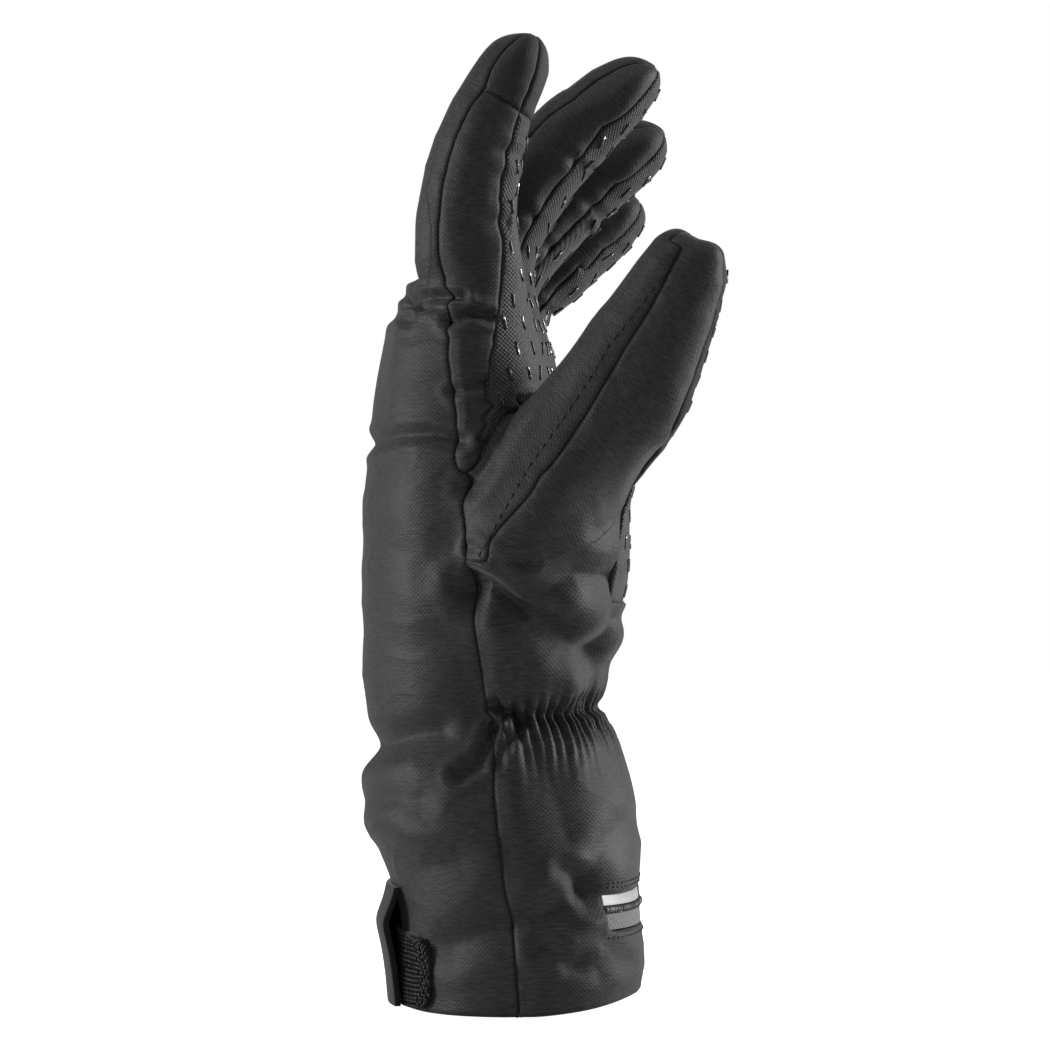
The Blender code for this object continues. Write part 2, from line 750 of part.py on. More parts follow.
def inset_points(points, faces, edges, distance_of):
    """Points of a panel with its rim drawn in by half the seam gap."""
    pulls = {}
    for (first, last), number in edges.items():
        corners = [points[index] for index in faces[number]]
        normal = sum((a.cross(b) for a, b in zip(corners, corners[1:] + corners[:1])), Vector())
        inward = normal.cross(points[last] - points[first]).normalized()
        for index in (first, last):
            pulls.setdefault(index, []).append((inward, distance_of(first, last)))
    moved = {index: points[index] for corners in faces for index in corners}
    for index, items in pulls.items():
        (way, reach), (other_way, other_reach) = items[0], items[-1]
        shared = max(-RIM_CORNER_LIMIT, way.dot(other_way))
        first_part = (reach - other_reach * shared) / (1 - shared * shared + 1e-4)
        last_part = (other_reach - reach * shared) / (1 - shared * shared + 1e-4)
        if shared > RIM_STRAIGHT:
            first_part = last_part = (reach + other_reach) / 4
        moved[index] = points[index] + way * first_part + other_way * last_part
    return moved


def panel_object(name, surface, collection, material, sink=0.0, thickness=WALL):
    """A padded wall of one panel, from its outer face to its inner face."""
    faces = [corners for corners, panel in zip(surface.faces, surface.panels) if panel == name]
    edges = boundary_edges(faces)
    outer, inner = surface.outer, surface.inner
    if sink > 0.0:
        ways = surface.normals
        outer = [point - way * sink for point, way in zip(surface.base, ways)]
        inner = [point - way * (sink + thickness) for point, way in zip(surface.base, ways)]
    tapes = {"zip_tape_upper", "zip_tape_lower"}

    def distance_of(first, last):
        both_tapes = tapes <= (surface.owners[first] & surface.owners[last])
        return COIL_RADIUS + SEAM_GAP if both_tapes and name in tapes else SEAM_GAP / 2

    outer = inset_points(outer, faces, edges, distance_of)
    inner = inset_points(inner, faces, edges, distance_of)
    form = bmesh.new()
    tops = {index: form.verts.new(point) for index, point in outer.items()}
    bottoms = {index: form.verts.new(point) for index, point in inner.items()}
    for corners in faces:
        form.faces.new([tops[index] for index in corners])
        form.faces.new([bottoms[index] for index in reversed(corners)])
    for first, last in edges:
        rim = [tops[last], tops[first], bottoms[first], bottoms[last]]
        if first < last:
            form.faces.new((rim[0], rim[1], rim[3]))
            form.faces.new((rim[1], rim[2], rim[3]))
        else:
            form.faces.new((rim[0], rim[1], rim[2]))
            form.faces.new((rim[0], rim[2], rim[3]))
    bmesh.ops.triangulate(form, faces=form.faces)
    mesh = bpy.data.meshes.new(name)
    form.to_mesh(mesh)
    form.free()
    mesh.shade_smooth()
    mesh.set_sharp_from_angle(angle=math.radians(PANEL_SHARP_ANGLE))
    mesh.materials.append(material)
    panel = bpy.data.objects.new(name, mesh)
    collection.objects.link(panel)
    return panel


class Skin:
    """The glove's smooth outer form, to seat the small pieces on."""

    def __init__(self, surface):
        self.tree = BVHTree.FromPolygons(surface.base, surface.faces)

    def point(self, height, angle, standoff):
        """A point off the cuff's face at a height in metres and an angle round the cuff."""
        target = outline_point(height / BODY_HEIGHT, angle)
        turn = math.radians(angle)
        outward = Vector((-math.sin(turn), -math.cos(turn), 0))
        middle = target - outward * BODY_DEPTH / 4
        found = self.tree.ray_cast(middle + outward * BODY_DEPTH, -outward)
        place, normal = found[0], found[1]
        normal = Vector((normal.x, normal.y, 0)).normalized()
        return place + normal * standoff, normal


def sheet_object(name, grid, thickness, collection, material):
    """A closed sheet from a grid of points and normals on its inner face."""
    form = bmesh.new()
    inner = [[form.verts.new(point) for point, _ in line] for line in grid]
    outer = [[form.verts.new(point + way * thickness) for point, way in line] for line in grid]
    for line in range(len(grid) - 1):
        for place in range(len(grid[0]) - 1):
            after, beyond = line + 1, place + 1
            form.faces.new((outer[line][place], outer[after][place],
                            outer[after][beyond], outer[line][beyond]))
            form.faces.new((inner[line][place], inner[line][beyond],
                            inner[after][beyond], inner[after][place]))
    rim_edges = [edge for edge in form.edges if edge.is_boundary]
    bmesh.ops.bridge_loops(form, edges=rim_edges)
    bmesh.ops.recalc_face_normals(form, faces=form.faces)
    mesh = bpy.data.meshes.new(name)
    form.to_mesh(mesh)
    form.free()
    mesh.shade_smooth()
    mesh.set_sharp_from_angle(angle=math.radians(TRIM_SHARP_ANGLE))
    mesh.materials.append(material)
    sheet = bpy.data.objects.new(name, mesh)
    collection.objects.link(sheet)
    return sheet


def add_strap(skin, collection, material):
    """The closure's strap, sewn to the cuff's far side, with its free end lifted."""
    grid = []
    for angle, lift_share in STRAP_COURSE:
        line = []
        for height, lift in STRAP_PROFILE:
            standoff = STRAP_SEAT + STRAP_LIFT * lift_share * lift
            line.append(skin.point(height * STRAP_HEIGHT, angle, standoff))
        grid.append(line)
    return sheet_object("cuff_strap", grid, STRAP_THICKNESS, collection, material)


def add_hook_patch(skin, collection, material):
    """The hook patch on the cuff, with a round end toward the thumb side."""
    middle = HOOK_HEIGHT / 2 + STRAP_SEAT
    grid = []
    for angle, share in HOOK_COURSE:
        steps = spread(-1.0, 1.0, 4)
        line = [skin.point(middle + step * share * HOOK_HEIGHT / 2, angle, STRAP_SEAT)
                for step in steps]
        grid.append(line)
    return sheet_object("cuff_hook_patch", grid, HOOK_THICKNESS, collection, material)


def zip_line(surface, sink):
    """Points and normals along the middle of the zip's window, from its visible end."""
    tapes = {"zip_tape_upper", "zip_tape_lower"}
    places = [index for index, owners in enumerate(surface.owners) if tapes <= owners]
    places.sort(key=lambda index: math.atan2(surface.base[index].y, surface.base[index].x))
    ways = surface.normals
    return [(surface.base[index] - ways[index] * sink, ways[index]) for index in places]


def along_line(line, distance):
    """Place, normal and direction at a distance along a line of points."""
    for (here, normal), (after, _) in zip(line, line[1:]):
        step = (after - here).length
        if distance <= step:
            return here.lerp(after, distance / step), normal, (after - here) / step
        distance -= step
    return line[-1][0], line[-1][1], (line[-1][0] - line[-2][0]).normalized()


def line_length(line):
    return sum((after - here).length for (here, _), (after, _) in zip(line, line[1:]))


def add_coil(surface, collection, material):
    """The closed teeth as one round rib between the tapes, up to the slider."""
    line = zip_line(surface, ZIP_SINK + COIL_RADIUS / 4)
    first = 2 * SEAM_GAP
    last = line_length(line) - SLIDER_LENGTH - 6 * SEAM_GAP
    curve = bpy.data.curves.new("zip_coil", "CURVE")
    curve.dimensions = "3D"
    curve.bevel_depth = COIL_RADIUS
    curve.bevel_resolution = 1
    curve.use_fill_caps = True
    spline = curve.splines.new("POLY")
    spline.points.add(COIL_POINTS)
    for number, distance in enumerate(spread(first, last, COIL_POINTS)):
        place = along_line(line, distance)[0]
        spline.points[number].co = (*place, 1.0)
    coil = bpy.data.objects.new("zip_coil", curve)
    curve.materials.append(material)
    collection.objects.link(coil)
    return coil


def block_object(name, size, bevel, collection, material):
    """A block with rounded edges. X is its length, Y its width and Z its thickness."""
    form = bmesh.new()
    bmesh.ops.create_cube(form, size=1.0)
    bmesh.ops.scale(form, vec=size, verts=form.verts)
    bmesh.ops.bevel(form, geom=form.edges[:], offset=bevel, segments=2, profile=0.5,
                    affect="EDGES")
    mesh = bpy.data.meshes.new(name)
    form.to_mesh(mesh)
    form.free()
    mesh.shade_smooth()
    mesh.set_sharp_from_angle(angle=math.radians(TRIM_SHARP_ANGLE))
    mesh.materials.append(material)
    block = bpy.data.objects.new(name, mesh)
    collection.objects.link(block)
    return block


def place_on_zip(block, line, distance, height):
    """Lays a block along the zip at a distance from its visible end, a height off the line."""
    place, normal, way = along_line(line, distance)
    across = normal.cross(way)
    turn = Matrix((way, across, normal)).transposed()
    block.matrix_world = Matrix.Translation(place + normal * height) @ turn.to_4x4()


def add_slider(surface, collection, material):
    """The zip's slider at the hidden end, and its pull laid back along the teeth."""
    line = zip_line(surface, ZIP_SINK)
    seat = line_length(line) - SLIDER_LENGTH / 2 - 3 * SEAM_GAP
    slider = block_object("zip_slider", (SLIDER_LENGTH, SLIDER_WIDTH, SLIDER_THICKNESS),
                          SLIDER_THICKNESS * SLIDER_ROUNDING, collection, material)
    base = 2 * SEAM_GAP + SLIDER_THICKNESS / 2
    place_on_zip(slider, line, seat, base)
    pull = block_object("zip_pull", (PULL_LENGTH, PULL_WIDTH, PULL_THICKNESS),
                        PULL_THICKNESS * PULL_ROUNDING, collection, material)
    lifted = base + SLIDER_THICKNESS / 2 + PULL_THICKNESS / 2 + SEAM_GAP
    place_on_zip(pull, line, seat, lifted)
    pull.location -= pull.matrix_world.to_3x3().col[0] * PULL_LENGTH / 4


def build():
    clear_scene()
    collection = make_collection("heated_glove")
    materials = make_materials()
    surface = Surface(fitted_surface(build_cage()))
    for name in PANELS:
        material = materials[PANEL_MATERIALS.get(name, "softshell")]
        if name.startswith("zip_tape"):
            panel_object(name, surface, collection, material, ZIP_SINK, ZIP_TAPE)
        else:
            panel_object(name, surface, collection, material)
    skin = Skin(surface)
    add_strap(skin, collection, materials["strap"])
    add_hook_patch(skin, collection, materials["hook_tape"])
    add_coil(surface, collection, materials["zip_coil"])
    add_slider(surface, collection, materials["slider_metal"])


build()
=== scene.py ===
"""Dresses the padded softshell glove: cloth panels with folds and seams, topstitching, grip dashes,
the pocket zip and the cuff's strap with its hook patch.

+Z points to the fingertips, -X is the back of the hand, +X the palm and -Y the thumb side, which
the camera sees. Named lengths of the glove are in millimetres. Those of the camera, the lights and
the floor, and all lengths inside functions, are in metres unless a function says otherwise.
"""
import math

import bmesh
import bpy
import numpy as np
from mathutils import Matrix, Vector, noise
from mathutils.bvhtree import BVHTree
from mathutils.kdtree import KDTree


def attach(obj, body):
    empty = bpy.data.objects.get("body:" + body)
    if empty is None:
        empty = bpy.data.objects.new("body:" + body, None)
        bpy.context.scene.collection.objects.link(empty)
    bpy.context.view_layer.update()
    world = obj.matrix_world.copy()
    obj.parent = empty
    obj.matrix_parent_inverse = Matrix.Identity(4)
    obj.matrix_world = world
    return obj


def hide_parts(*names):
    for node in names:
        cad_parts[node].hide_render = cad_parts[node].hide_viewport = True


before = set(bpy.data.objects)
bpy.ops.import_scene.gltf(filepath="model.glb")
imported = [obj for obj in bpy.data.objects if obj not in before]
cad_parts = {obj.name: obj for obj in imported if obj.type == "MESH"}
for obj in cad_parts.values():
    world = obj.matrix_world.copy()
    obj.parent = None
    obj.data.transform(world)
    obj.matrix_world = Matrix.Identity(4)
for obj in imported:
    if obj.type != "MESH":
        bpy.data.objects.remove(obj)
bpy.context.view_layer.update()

MM = 0.001
# The camera's distance from the glove's middle plane, its aim, and the width that it sees there
CAMERA_DISTANCE = 1.35
CAMERA_TARGET = Vector((0.0046, 0.0, 0.1447))
FRAME_WIDTH = 0.31983
CLOTH_LEVELS = 3
BEVEL_STEPS = 2
# Points nearer than this, in metres, are one, and a distance that any other is less than
MERGE = 1e-6
FAR = 1e9

# The walls of the dressed panels. A piece with more triangles than this has its inner wall thinned.
WALL = 1.8
TRIANGLE_LIMIT = 185000
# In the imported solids: the thickest wall, and how squarely its two faces look away from each other
PACKED_WALL = 6.2
PACKED_FACING = 0.6

# Sewing: how far apart rims may lie, how often each is tried, the share of an edge that counts as
# its end, and the sides of the largest hole filled
SEAM_REACHES = (0.5, 1.3, 2.6, 4.2)
SEAM_TRIES = 4
EDGE_END = 0.03
HOLE_SIDES = 12
# The open edges that stay open: the hem, which curves up toward the palm, and the zip's window
HEM_TOP, HEM_CURVE, HEM_BAND = 6.0, 3.2, 1.2
WINDOW_SIDE, WINDOW_LOW, WINDOW_HIGH = 24.0, 24.0, 36.0

# The seams' cross-section: how far from a seam the padding reaches its height, the fill beside the
# seam, the groove in it and the reach of the painted shade, the groove's shadow, along it
SWELL_REACH = 8.0
SEAM_FILL, FILL_REACH = 0.12, 3.6
SEAM_GROOVE, GROOVE_REACH = 0.6, 0.6
SEAM_PAINTED_SHADE_REACH = 0.55

# The gather's heights, the part of it that is built anew, and the middle of the neck along X.
# The new band takes its radius from points near it: turn in radians, height.
GATHER_LOW, GATHER_HIGH = 76.0, 102.0
GATHER_ROW_LOW, GATHER_ROW_HIGH = 81.5, 97.0
NECK_MIDDLE = -6.0
NECK_BLEND = (0.09, 2.5)

# The cloth panels: finish, record slot, padding that swells between the seams
PANELS = {
    "back_panel": ("softshell", "softshell", 0.45),
    "front_panel": ("softshell", "softshell", 0.4),
    "thumb_back": ("softshell", "softshell", 0.3),
    "index_side": ("softshell", "softshell", 0.3),
    "fourchette_index_middle": ("softshell", "softshell", 0.3),
    "fourchette_middle_ring": ("softshell", "softshell", 0.3),
    "fourchette_ring_little": ("softshell", "softshell", 0.3),
    "palm_grip": ("grip_knit", "grip_fabric", 0.4),
    "thumb_grip": ("thumb_knit", "grip_fabric", 0.3),
    "index_tip_side": ("touch_cloth", "touch_fabric", 0.4),
    "index_tip_pad": ("touch_cloth", "touch_fabric", 0.4),
}

# Middle lines of the hand and the fingers, for the run of the weave: radius, then x, y, z
LIMBS = {
    "hand": (46.0, ((0, 0, -10), (-4, 0, 90), (-12, 0, 200))),
    "index": (13.0, ((-12, -38, 212), (-12, -41, 242), (-6, -43, 263), (9, -45, 292))),
    "middle": (13.0, ((-8, -13, 208), (1, -14, 241), (15, -14, 260), (40, -14, 284))),
    "ring": (13.0, ((-6, 12, 204), (8, 13, 236), (25, 14, 250), (46, 15, 268))),
    "little": (12.0, ((-9, 36, 190), (6, 40, 218), (22, 42, 232), (43, 45, 249))),
    "thumb": (17.0, ((15, -43, 160), (35, -52, 187), (46, -55, 206), (57, -58, 227))),
}
LIMB_ORDER = list(LIMBS)
# A finger's run starts this far below its first point on the panels that cover the hand too
LIMB_START = -14.0

# Folds of the cloth as the camera sees them in the glove's middle plane. Wrap is how far a fold
# runs round out of the camera's sight, from -1, not at all, to 1, all round.
FOLDS = (
    # points (x, z), half width, depth, ridge beside it, wrap
    (((-43, 169), (-34, 172), (-24, 172.4), (-14.6, 170.3)), 1.9, 1.7, 0.7, 0.9),
    (((-17, 185.5), (-7, 187.6)), 1.5, 1.2, 0.4, 0.1),
    (((-30, 213), (-21, 214.2), (-14.6, 214)), 1.5, 2.8, 1.2, 0.9),
    (((-27, 210.6), (-19, 210.4)), 1.1, 1.9, 0.5, 0.2),
    (((-18.5, 207), (-12, 209.2), (-6, 208)), 1.5, 2.2, 0.9, 0.1),
    (((-31, 207), (-27, 211)), 1.4, 1.8, 0.6, 0.2),
    (((-36, 208), (-31, 213)), 1.8, 1.2, 0.3, 0.9),
    (((-9.8, 125.8), (3, 119.4), (14, 111.2), (25.6, 104.8)), 4.6, 4.2, 1.3, 0.5),
    (((9.4, 123.7), (19.8, 130), (29.5, 128.8)), 3.4, 2.2, 0.5, 0.7),
    (((31.7, 116), (28, 108.1), (25, 99.3), (22.2, 91.7)), 2.6, 2.2, 0.7, 0.4),
    (((-4.6, 90.2), (3, 85.3)), 1.5, 1.8, 0.7, 0.0),
    (((3, 83.8), (-1, 78), (-3.4, 72.5)), 1.6, 2.0, 0.8, 0.0),
    (((-44, 76.5), (-40.5, 77.7), (-32, 79.8), (-21.3, 82.2)), 3.6, 2.2, 0.5, 0.9),
    (((-15.5, 68.2), (-8.8, 72.5), (-4.6, 82.2)), 1.9, 2.1, 0.9, 0.0),
    (((-42, 61), (-36, 61.5), (-28, 60.9)), 4.0, 1.4, 0.6, 0.6),
    (((-17.7, 16.8), (-4.6, 21.3), (8, 24), (23.5, 33)), 4.6, 2.4, 0.9, 0.0),
    (((4.3, 184), (-1.5, 175.1), (-7.3, 163.9), (-12.5, 156)), 2.4, 1.7, 0.5, -0.2),
    (((-11, 130), (-1, 123), (4, 118)), 1.6, 1.1, 0.5, 0.0),
    (((44, 165), (36, 150), (28, 143)), 3.0, 1.0, 0.6, 0.4),
    (((34, 54), (27, 44), (24, 36)), 3.4, 1.3, 0.4, 0.5),
    (((20, 12), (27, 18), (33, 12)), 2.6, 1.0, 0.6, 0.5),
    (((-40, 140), (-26, 133), (-17, 137)), 4.5, 0.8, 0.4, 0.4),
    (((-43, 112), (-30, 106), (-20, 112)), 5.0, 0.5, 0.2, 0.6),
    (((8, 80), (14, 62), (19, 44), (20, 36)), 6.0, 1.2, 0.4, 0.0),
    (((16, 40), (22, 36), (24, 29)), 2.4, 1.3, 0.6, 0.0),
    (((10, 16), (18, 10), (26, 10)), 2.8, 1.3, 0.8, 0.2),
    (((-38, 48), (-28, 40), (-16, 42)), 4.0, 1.1, 0.6, 0.3),
    (((-11, 138), (-3, 134), (6, 134)), 1.6, 1.1, 0.6, 0.0),
)
# Places where the thumb's tip stands out squarely or lies flatter: (x, z), half width, lift
TIP_SHAPE = (
    ((63.0, 228.5), 4.5, 1.9),
    ((64.0, 219.0), 5.0, 0.9),
    ((51.0, 234.5), 4.0, 0.8),
    ((57.8, 233.6), 3.2, -0.7),
)
# Creases of the fingers' bends: limb, place along it, half width, depth, palm side 1 or back 0
CREASES = (
    ("index", 22, 2.0, 1.1, 1),
    ("index", 45, 1.8, 0.9, 1),
    ("middle", 10, 2.2, 1.4, 1),
    ("middle", 33, 2.0, 1.2, 1),
    ("middle", 55, 1.8, 0.9, 1),
    ("ring", 9, 2.2, 1.4, 1),
    ("ring", 31, 2.0, 1.2, 1),
    ("ring", 52, 1.8, 0.9, 1),
    ("little", 8, 2.0, 1.3, 1),
    ("little", 28, 1.8, 1.1, 1),
    ("middle", 14, 2.4, 0.9, 0),
    ("ring", 13, 2.4, 0.9, 0),
    ("little", 12, 2.4, 0.9, 0),
)
CREASE_WANDER = 1.8

# The elastic's line round the wrist, the shoulders of cloth above and below it, and the pleats: how
# far they reach up and down, how they fan out, and the slower waves that run through them
ELASTIC_HEIGHT, ELASTIC_WIDTH, ELASTIC_DEPTH = 88.6, 2.2, 1.7
SHOULDER_LIFT, SHOULDER_AWAY, SHOULDER_WIDTH = 0.9, 8.5, 4.5
PLEAT_PITCH, PLEAT_DEPTH, PLEAT_MIDDLE = 3.7, 1.75, -46.0
PLEAT_ABOVE, PLEAT_BELOW = 5.5, 10.0
PLEAT_FAN, PLEAT_FAN_REACH = 0.006, 12.0
PLEAT_FROM_SEAM = 5.0
WAVE_LIFT, WAVE_REACH, WAVE_PLEATS = 0.55, 15.0, 3.0

# Stitch rows above and below the zip's window: heights, the turns in degrees that they run between,
# their steps, and where the rays toward the cloth start
ZIP_STITCH_HEIGHTS = (37.4, 38.8, 22.6)
ZIP_STITCH_START, ZIP_STITCH_END, ZIP_STITCH_STEP = -55.0, 55.0, 0.5
ZIP_STITCH_FROM = 120.0
# Topstitching beside the thumb's seam as the camera sees it: points (x, z), and their steps
TOPSTITCH = ((54.6, 229), (47.4, 221.6), (38.4, 210), (29.8, 199), (25.0, 190.5), (16.0, 177),
             (5.6, 162.4), (-1.8, 149.2), (-10.2, 134))
TOPSTITCH_STEP = 0.7
# Stitches: pitch, half length, width and height, height of the middle, longest gap crossed
THUMB_STITCH = (2.9, (1.1, 0.275, 0.225), 0.10, 3.0)
ZIP_STITCH = (2.1, (0.8, 0.275, 0.25), 0.12, math.inf)

# Rubber dashes: size, bevel, height of the middle, spacing round and along the limb, first row,
# stagger, distance from a seam, reach to the cloth, turns of even and odd rows
DASH_SIZE, DASH_BEVEL, DASH_OFF = (4.3, 0.80, 0.70), 0.22, 0.05
DASH_AROUND, DASH_ALONG, DASH_FIRST, DASH_STAGGER = 6.8, 7.4, 3.0, 3.4
DASH_FROM_SEAM, DASH_REACH, DASH_TURNS = 2.6, 1.2, (14, 24)
# How far along the limb a dash looks for its way, and the least that it finds
DASH_LOOK, DASH_WAY = 2.0, 0.3

# Hooks: half length, width and height, spacing, first place, reach to the tape, height of the
# middle, how squarely the tape looks outwards under them, and the ways that they lean
HOOK_SIZE, HOOK_PITCH, HOOK_FIRST = (0.85, 0.45, 0.70), 1.25, 0.6
HOOK_REACH, HOOK_OFF, HOOK_FACING = 0.9, 0.15, 0.5
HOOK_WAYS = ((0.35, 0.0, 0.9), (-0.35, 0.0, 0.9))
# Zip teeth: places along the coil, half length, width and height, and height of the middle
TOOTH_PLACES, TOOTH_SIZE, TOOTH_OFF = 26, (1.15, 0.42, 0.75), 0.35

# Scale of the cloths' unevenness, and how dark the painted shade along the seams is
CLOTH_WEAR = 30.0
SEAM_PAINTED_SHADE = 0.8

# Area lights: name, place, size, watts. They face the target.
LIGHT_TARGET = (0.0, 0.0, 0.15)
LIGHTS = (
    ("left_box", (-1.25, -0.10, 0.10), (0.36, 0.9), 17),
    ("right_box", (1.10, 0.30, 0.30), (0.3, 1.1), 16),
    ("top_box", (-0.05, -0.35, 1.3), (0.7, 0.7), 3),
)
WORLD_LIGHT, WORLD_SEEN = 0.22, 1.0
FLOOR_RADIUS, FLOOR_HEIGHT = 3.0, -0.0005


def smooth_step(value):
    """Eases from 0 to 1."""
    value = np.clip(value, 0.0, 1.0)
    return value * value * (3.0 - 2.0 * value)


def mesh_points(mesh):
    """The places of a mesh's points."""
    points = np.zeros(len(mesh.vertices) * 3)
    mesh.vertices.foreach_get("co", points)
    return points.reshape(-1, 3)


def mesh_normals(mesh):
    """The normals at a mesh's points."""
    normals = np.zeros(len(mesh.vertices) * 3)
    mesh.vertices.foreach_get("normal", normals)
    return normals.reshape(-1, 3)


def mesh_of(form, name):
    """A form's mesh. The form is freed."""
    mesh = bpy.data.meshes.new(name)
    form.to_mesh(mesh)
    form.free()
    return mesh


def new_piece(name, mesh, finish, replaced=()):
    """Puts a finished mesh in the scene as a piece that rides on the glove."""
    piece = bpy.data.objects.new(name, mesh)
    bpy.context.scene.collection.objects.link(piece)
    mesh.materials.clear()
    mesh.materials.append(finish)
    mesh.shade_smooth()
    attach(piece, "root")
    if replaced:
        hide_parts(*replaced)
    return piece


# ---- shapes shared by the cloth ----


def cloth_tree():
    """All cloth solids in one tree, to tell the hollow of the glove from the outside."""
    points, faces = [], []
    for node in list(PANELS) + ["zip_tape_upper", "zip_tape_lower"]:
        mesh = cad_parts[node].data
        start = len(points)
        points += [vertex.co.copy() for vertex in mesh.vertices]
        faces += [[start + index for index in face.vertices] for face in mesh.polygons]
    return BVHTree.FromPolygons(points, faces)


def in_hollow(tree, place):
    """True where cloth lies on every side of a place but below."""
    ways = ((1, 0, 0), (-1, 0, 0), (0, 1, 0), (0, -1, 0), (0, 0, 1))
    return all(tree.ray_cast(place, Vector(way))[0] is not None for way in ways)


def merged_copy(node):
    """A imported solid's mesh as a form of its own, with its points merged."""
    form = bmesh.new()
    form.from_mesh(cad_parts[node].data)
    bmesh.ops.remove_doubles(form, verts=form.verts, dist=MERGE)
    return form


def outer_sheet(node, tree):
    """The outer face of a packed cloth solid as a sheet, from a merged copy of its mesh."""
    form = merged_copy(node)
    own = BVHTree.FromBMesh(form)
    inward = {vertex: 0.0 for vertex in form.verts}
    for face in form.faces:
        centre, normal = face.calc_center_median(), face.normal
        place, far_normal, _, thickness = own.ray_cast(centre - normal * 1e-5, -normal)
        if place is None or thickness > PACKED_WALL * MM:
            continue
        if abs(far_normal.dot(normal)) < PACKED_FACING:
            continue
        share = face.calc_area() * (1 if in_hollow(tree, centre + normal * 0.5 * MM) else -1)
        for vertex in face.verts:
            inward[vertex] += share
    inner = [vertex for vertex, share in inward.items() if share > 0]
    bmesh.ops.delete(form, geom=inner, context="VERTS")
    bmesh.ops.join_triangles(form, faces=form.faces, angle_face_threshold=math.pi,
                             angle_shape_threshold=math.pi)
    return form


def refined(form, levels, name):
    """A smooth, finer mesh of a coarse form, with its corners kept."""
    mesh = mesh_of(form, name)
    rough = bpy.data.objects.new(name, mesh)
    bpy.context.scene.collection.objects.link(rough)
    smoother = rough.modifiers.new("smooth", "SUBSURF")
    smoother.levels = smoother.render_levels = levels
    smoother.boundary_smooth = "PRESERVE_CORNERS"
    bpy.context.view_layer.update()
    fine = bpy.data.meshes.new_from_object(
        rough.evaluated_get(bpy.context.evaluated_depsgraph_get()))
    bpy.data.objects.remove(rough, do_unlink=True)
    bpy.data.meshes.remove(mesh)
    fine.name = name
    return fine


def limb_places(points, names, back):
    """For each point: limb number, metres along and round the limb, and turn from the palm, or
    from the back."""
    best = np.full(len(points), FAR)
    number = np.zeros(len(points), int)
    along = np.zeros(len(points))
    turn = np.zeros(len(points))
    for order, name in enumerate(LIMBS):
        if name not in names:
            continue
        radius, knots = LIMBS[name]
        line = np.array(knots, float) * MM
        run = 0.0
        for first, last in zip(line, line[1:]):
            step = last - first
            length = np.linalg.norm(step)
            way = step / length
            part = (points - first) @ way
            lowest = 0.0
            if run == 0.0:
                lowest = LIMB_START * MM if name != "hand" and "hand" in names else -np.inf
            highest = np.inf if np.array_equal(last, line[-1]) else length
            part = np.clip(part, lowest, highest)
            off = points - first - part[:, None] * way
            away = np.linalg.norm(off, axis=1) / (radius * MM)
            palm = np.array((1.0, 0.0, 0.0)) - way * way[0]
            palm = palm / np.linalg.norm(palm) * (-1.0 if back else 1.0)
            aside = np.cross(way, palm)
            here = np.arctan2(off @ aside, off @ palm)
            nearer = away < best
            best = np.where(nearer, away, best)
            number = np.where(nearer, order, number)
            along = np.where(nearer, run + part, along)
            turn = np.where(nearer, here, turn)
            run += length
    radii = np.array([LIMBS[name][0] * MM for name in LIMBS])
    return number, along, turn * radii[number], turn


def limbs_of(node):
    """The limbs that a panel covers."""
    if node.startswith("fourchette"):
        return node.split("_")[1:]
    return {
        "back_panel": LIMB_ORDER[:5],
        "palm_grip": LIMB_ORDER[:5],
        "front_panel": ["hand", "thumb"],
        "thumb_back": ["thumb"],
        "thumb_grip": ["thumb"],
        "index_side": ["hand", "index"],
    }.get(node, ["index"])


def seen_places(points):
    """Where the camera sees points, in the plane through the glove's middle, in millimetres."""
    scale = CAMERA_DISTANCE / (CAMERA_DISTANCE + points[:, 1])
    across = CAMERA_TARGET.x + (points[:, 0] - CAMERA_TARGET.x) * scale
    up = CAMERA_TARGET.z + (points[:, 2] - CAMERA_TARGET.z) * scale
    return np.stack((across, up), axis=1) / MM


def line_distance(places, line):
    """Distance from places in a plane to a line of points."""
    best = np.full(len(places), FAR)
    for first, last in zip(line, line[1:]):
        first, last = np.array(first, float), np.array(last, float)
        step = last - first
        part = np.clip((places - first) @ step / (step @ step), 0.0, 1.0)
        away = np.linalg.norm(places - first - part[:, None] * step, axis=1)
        best = np.minimum(best, away)
    return best


def at_hem(point):
    """True for the cuff's open edge, which is no seam."""
    height = max(0.0, point[0]) ** 2 * HEM_CURVE
    return point[2] < HEM_TOP * MM and abs(point[2] - height) < HEM_BAND * MM


def at_window(point):
    """True on the rim of the window that the pocket's zip lies in."""
    return point[0] > WINDOW_SIDE * MM and WINDOW_LOW * MM < point[2] < WINDOW_HIGH * MM


def rim_of(mesh):
    """The points on a sheet's open edge."""
    counts = {}
    for face in mesh.polygons:
        for key in face.edge_keys:
            counts[key] = counts.get(key, 0) + 1
    return sorted({index for key, count in counts.items() if count == 1 for index in key})


def within(vertex, low, high):
    """True between two heights."""
    return low * MM < vertex.co.z < high * MM


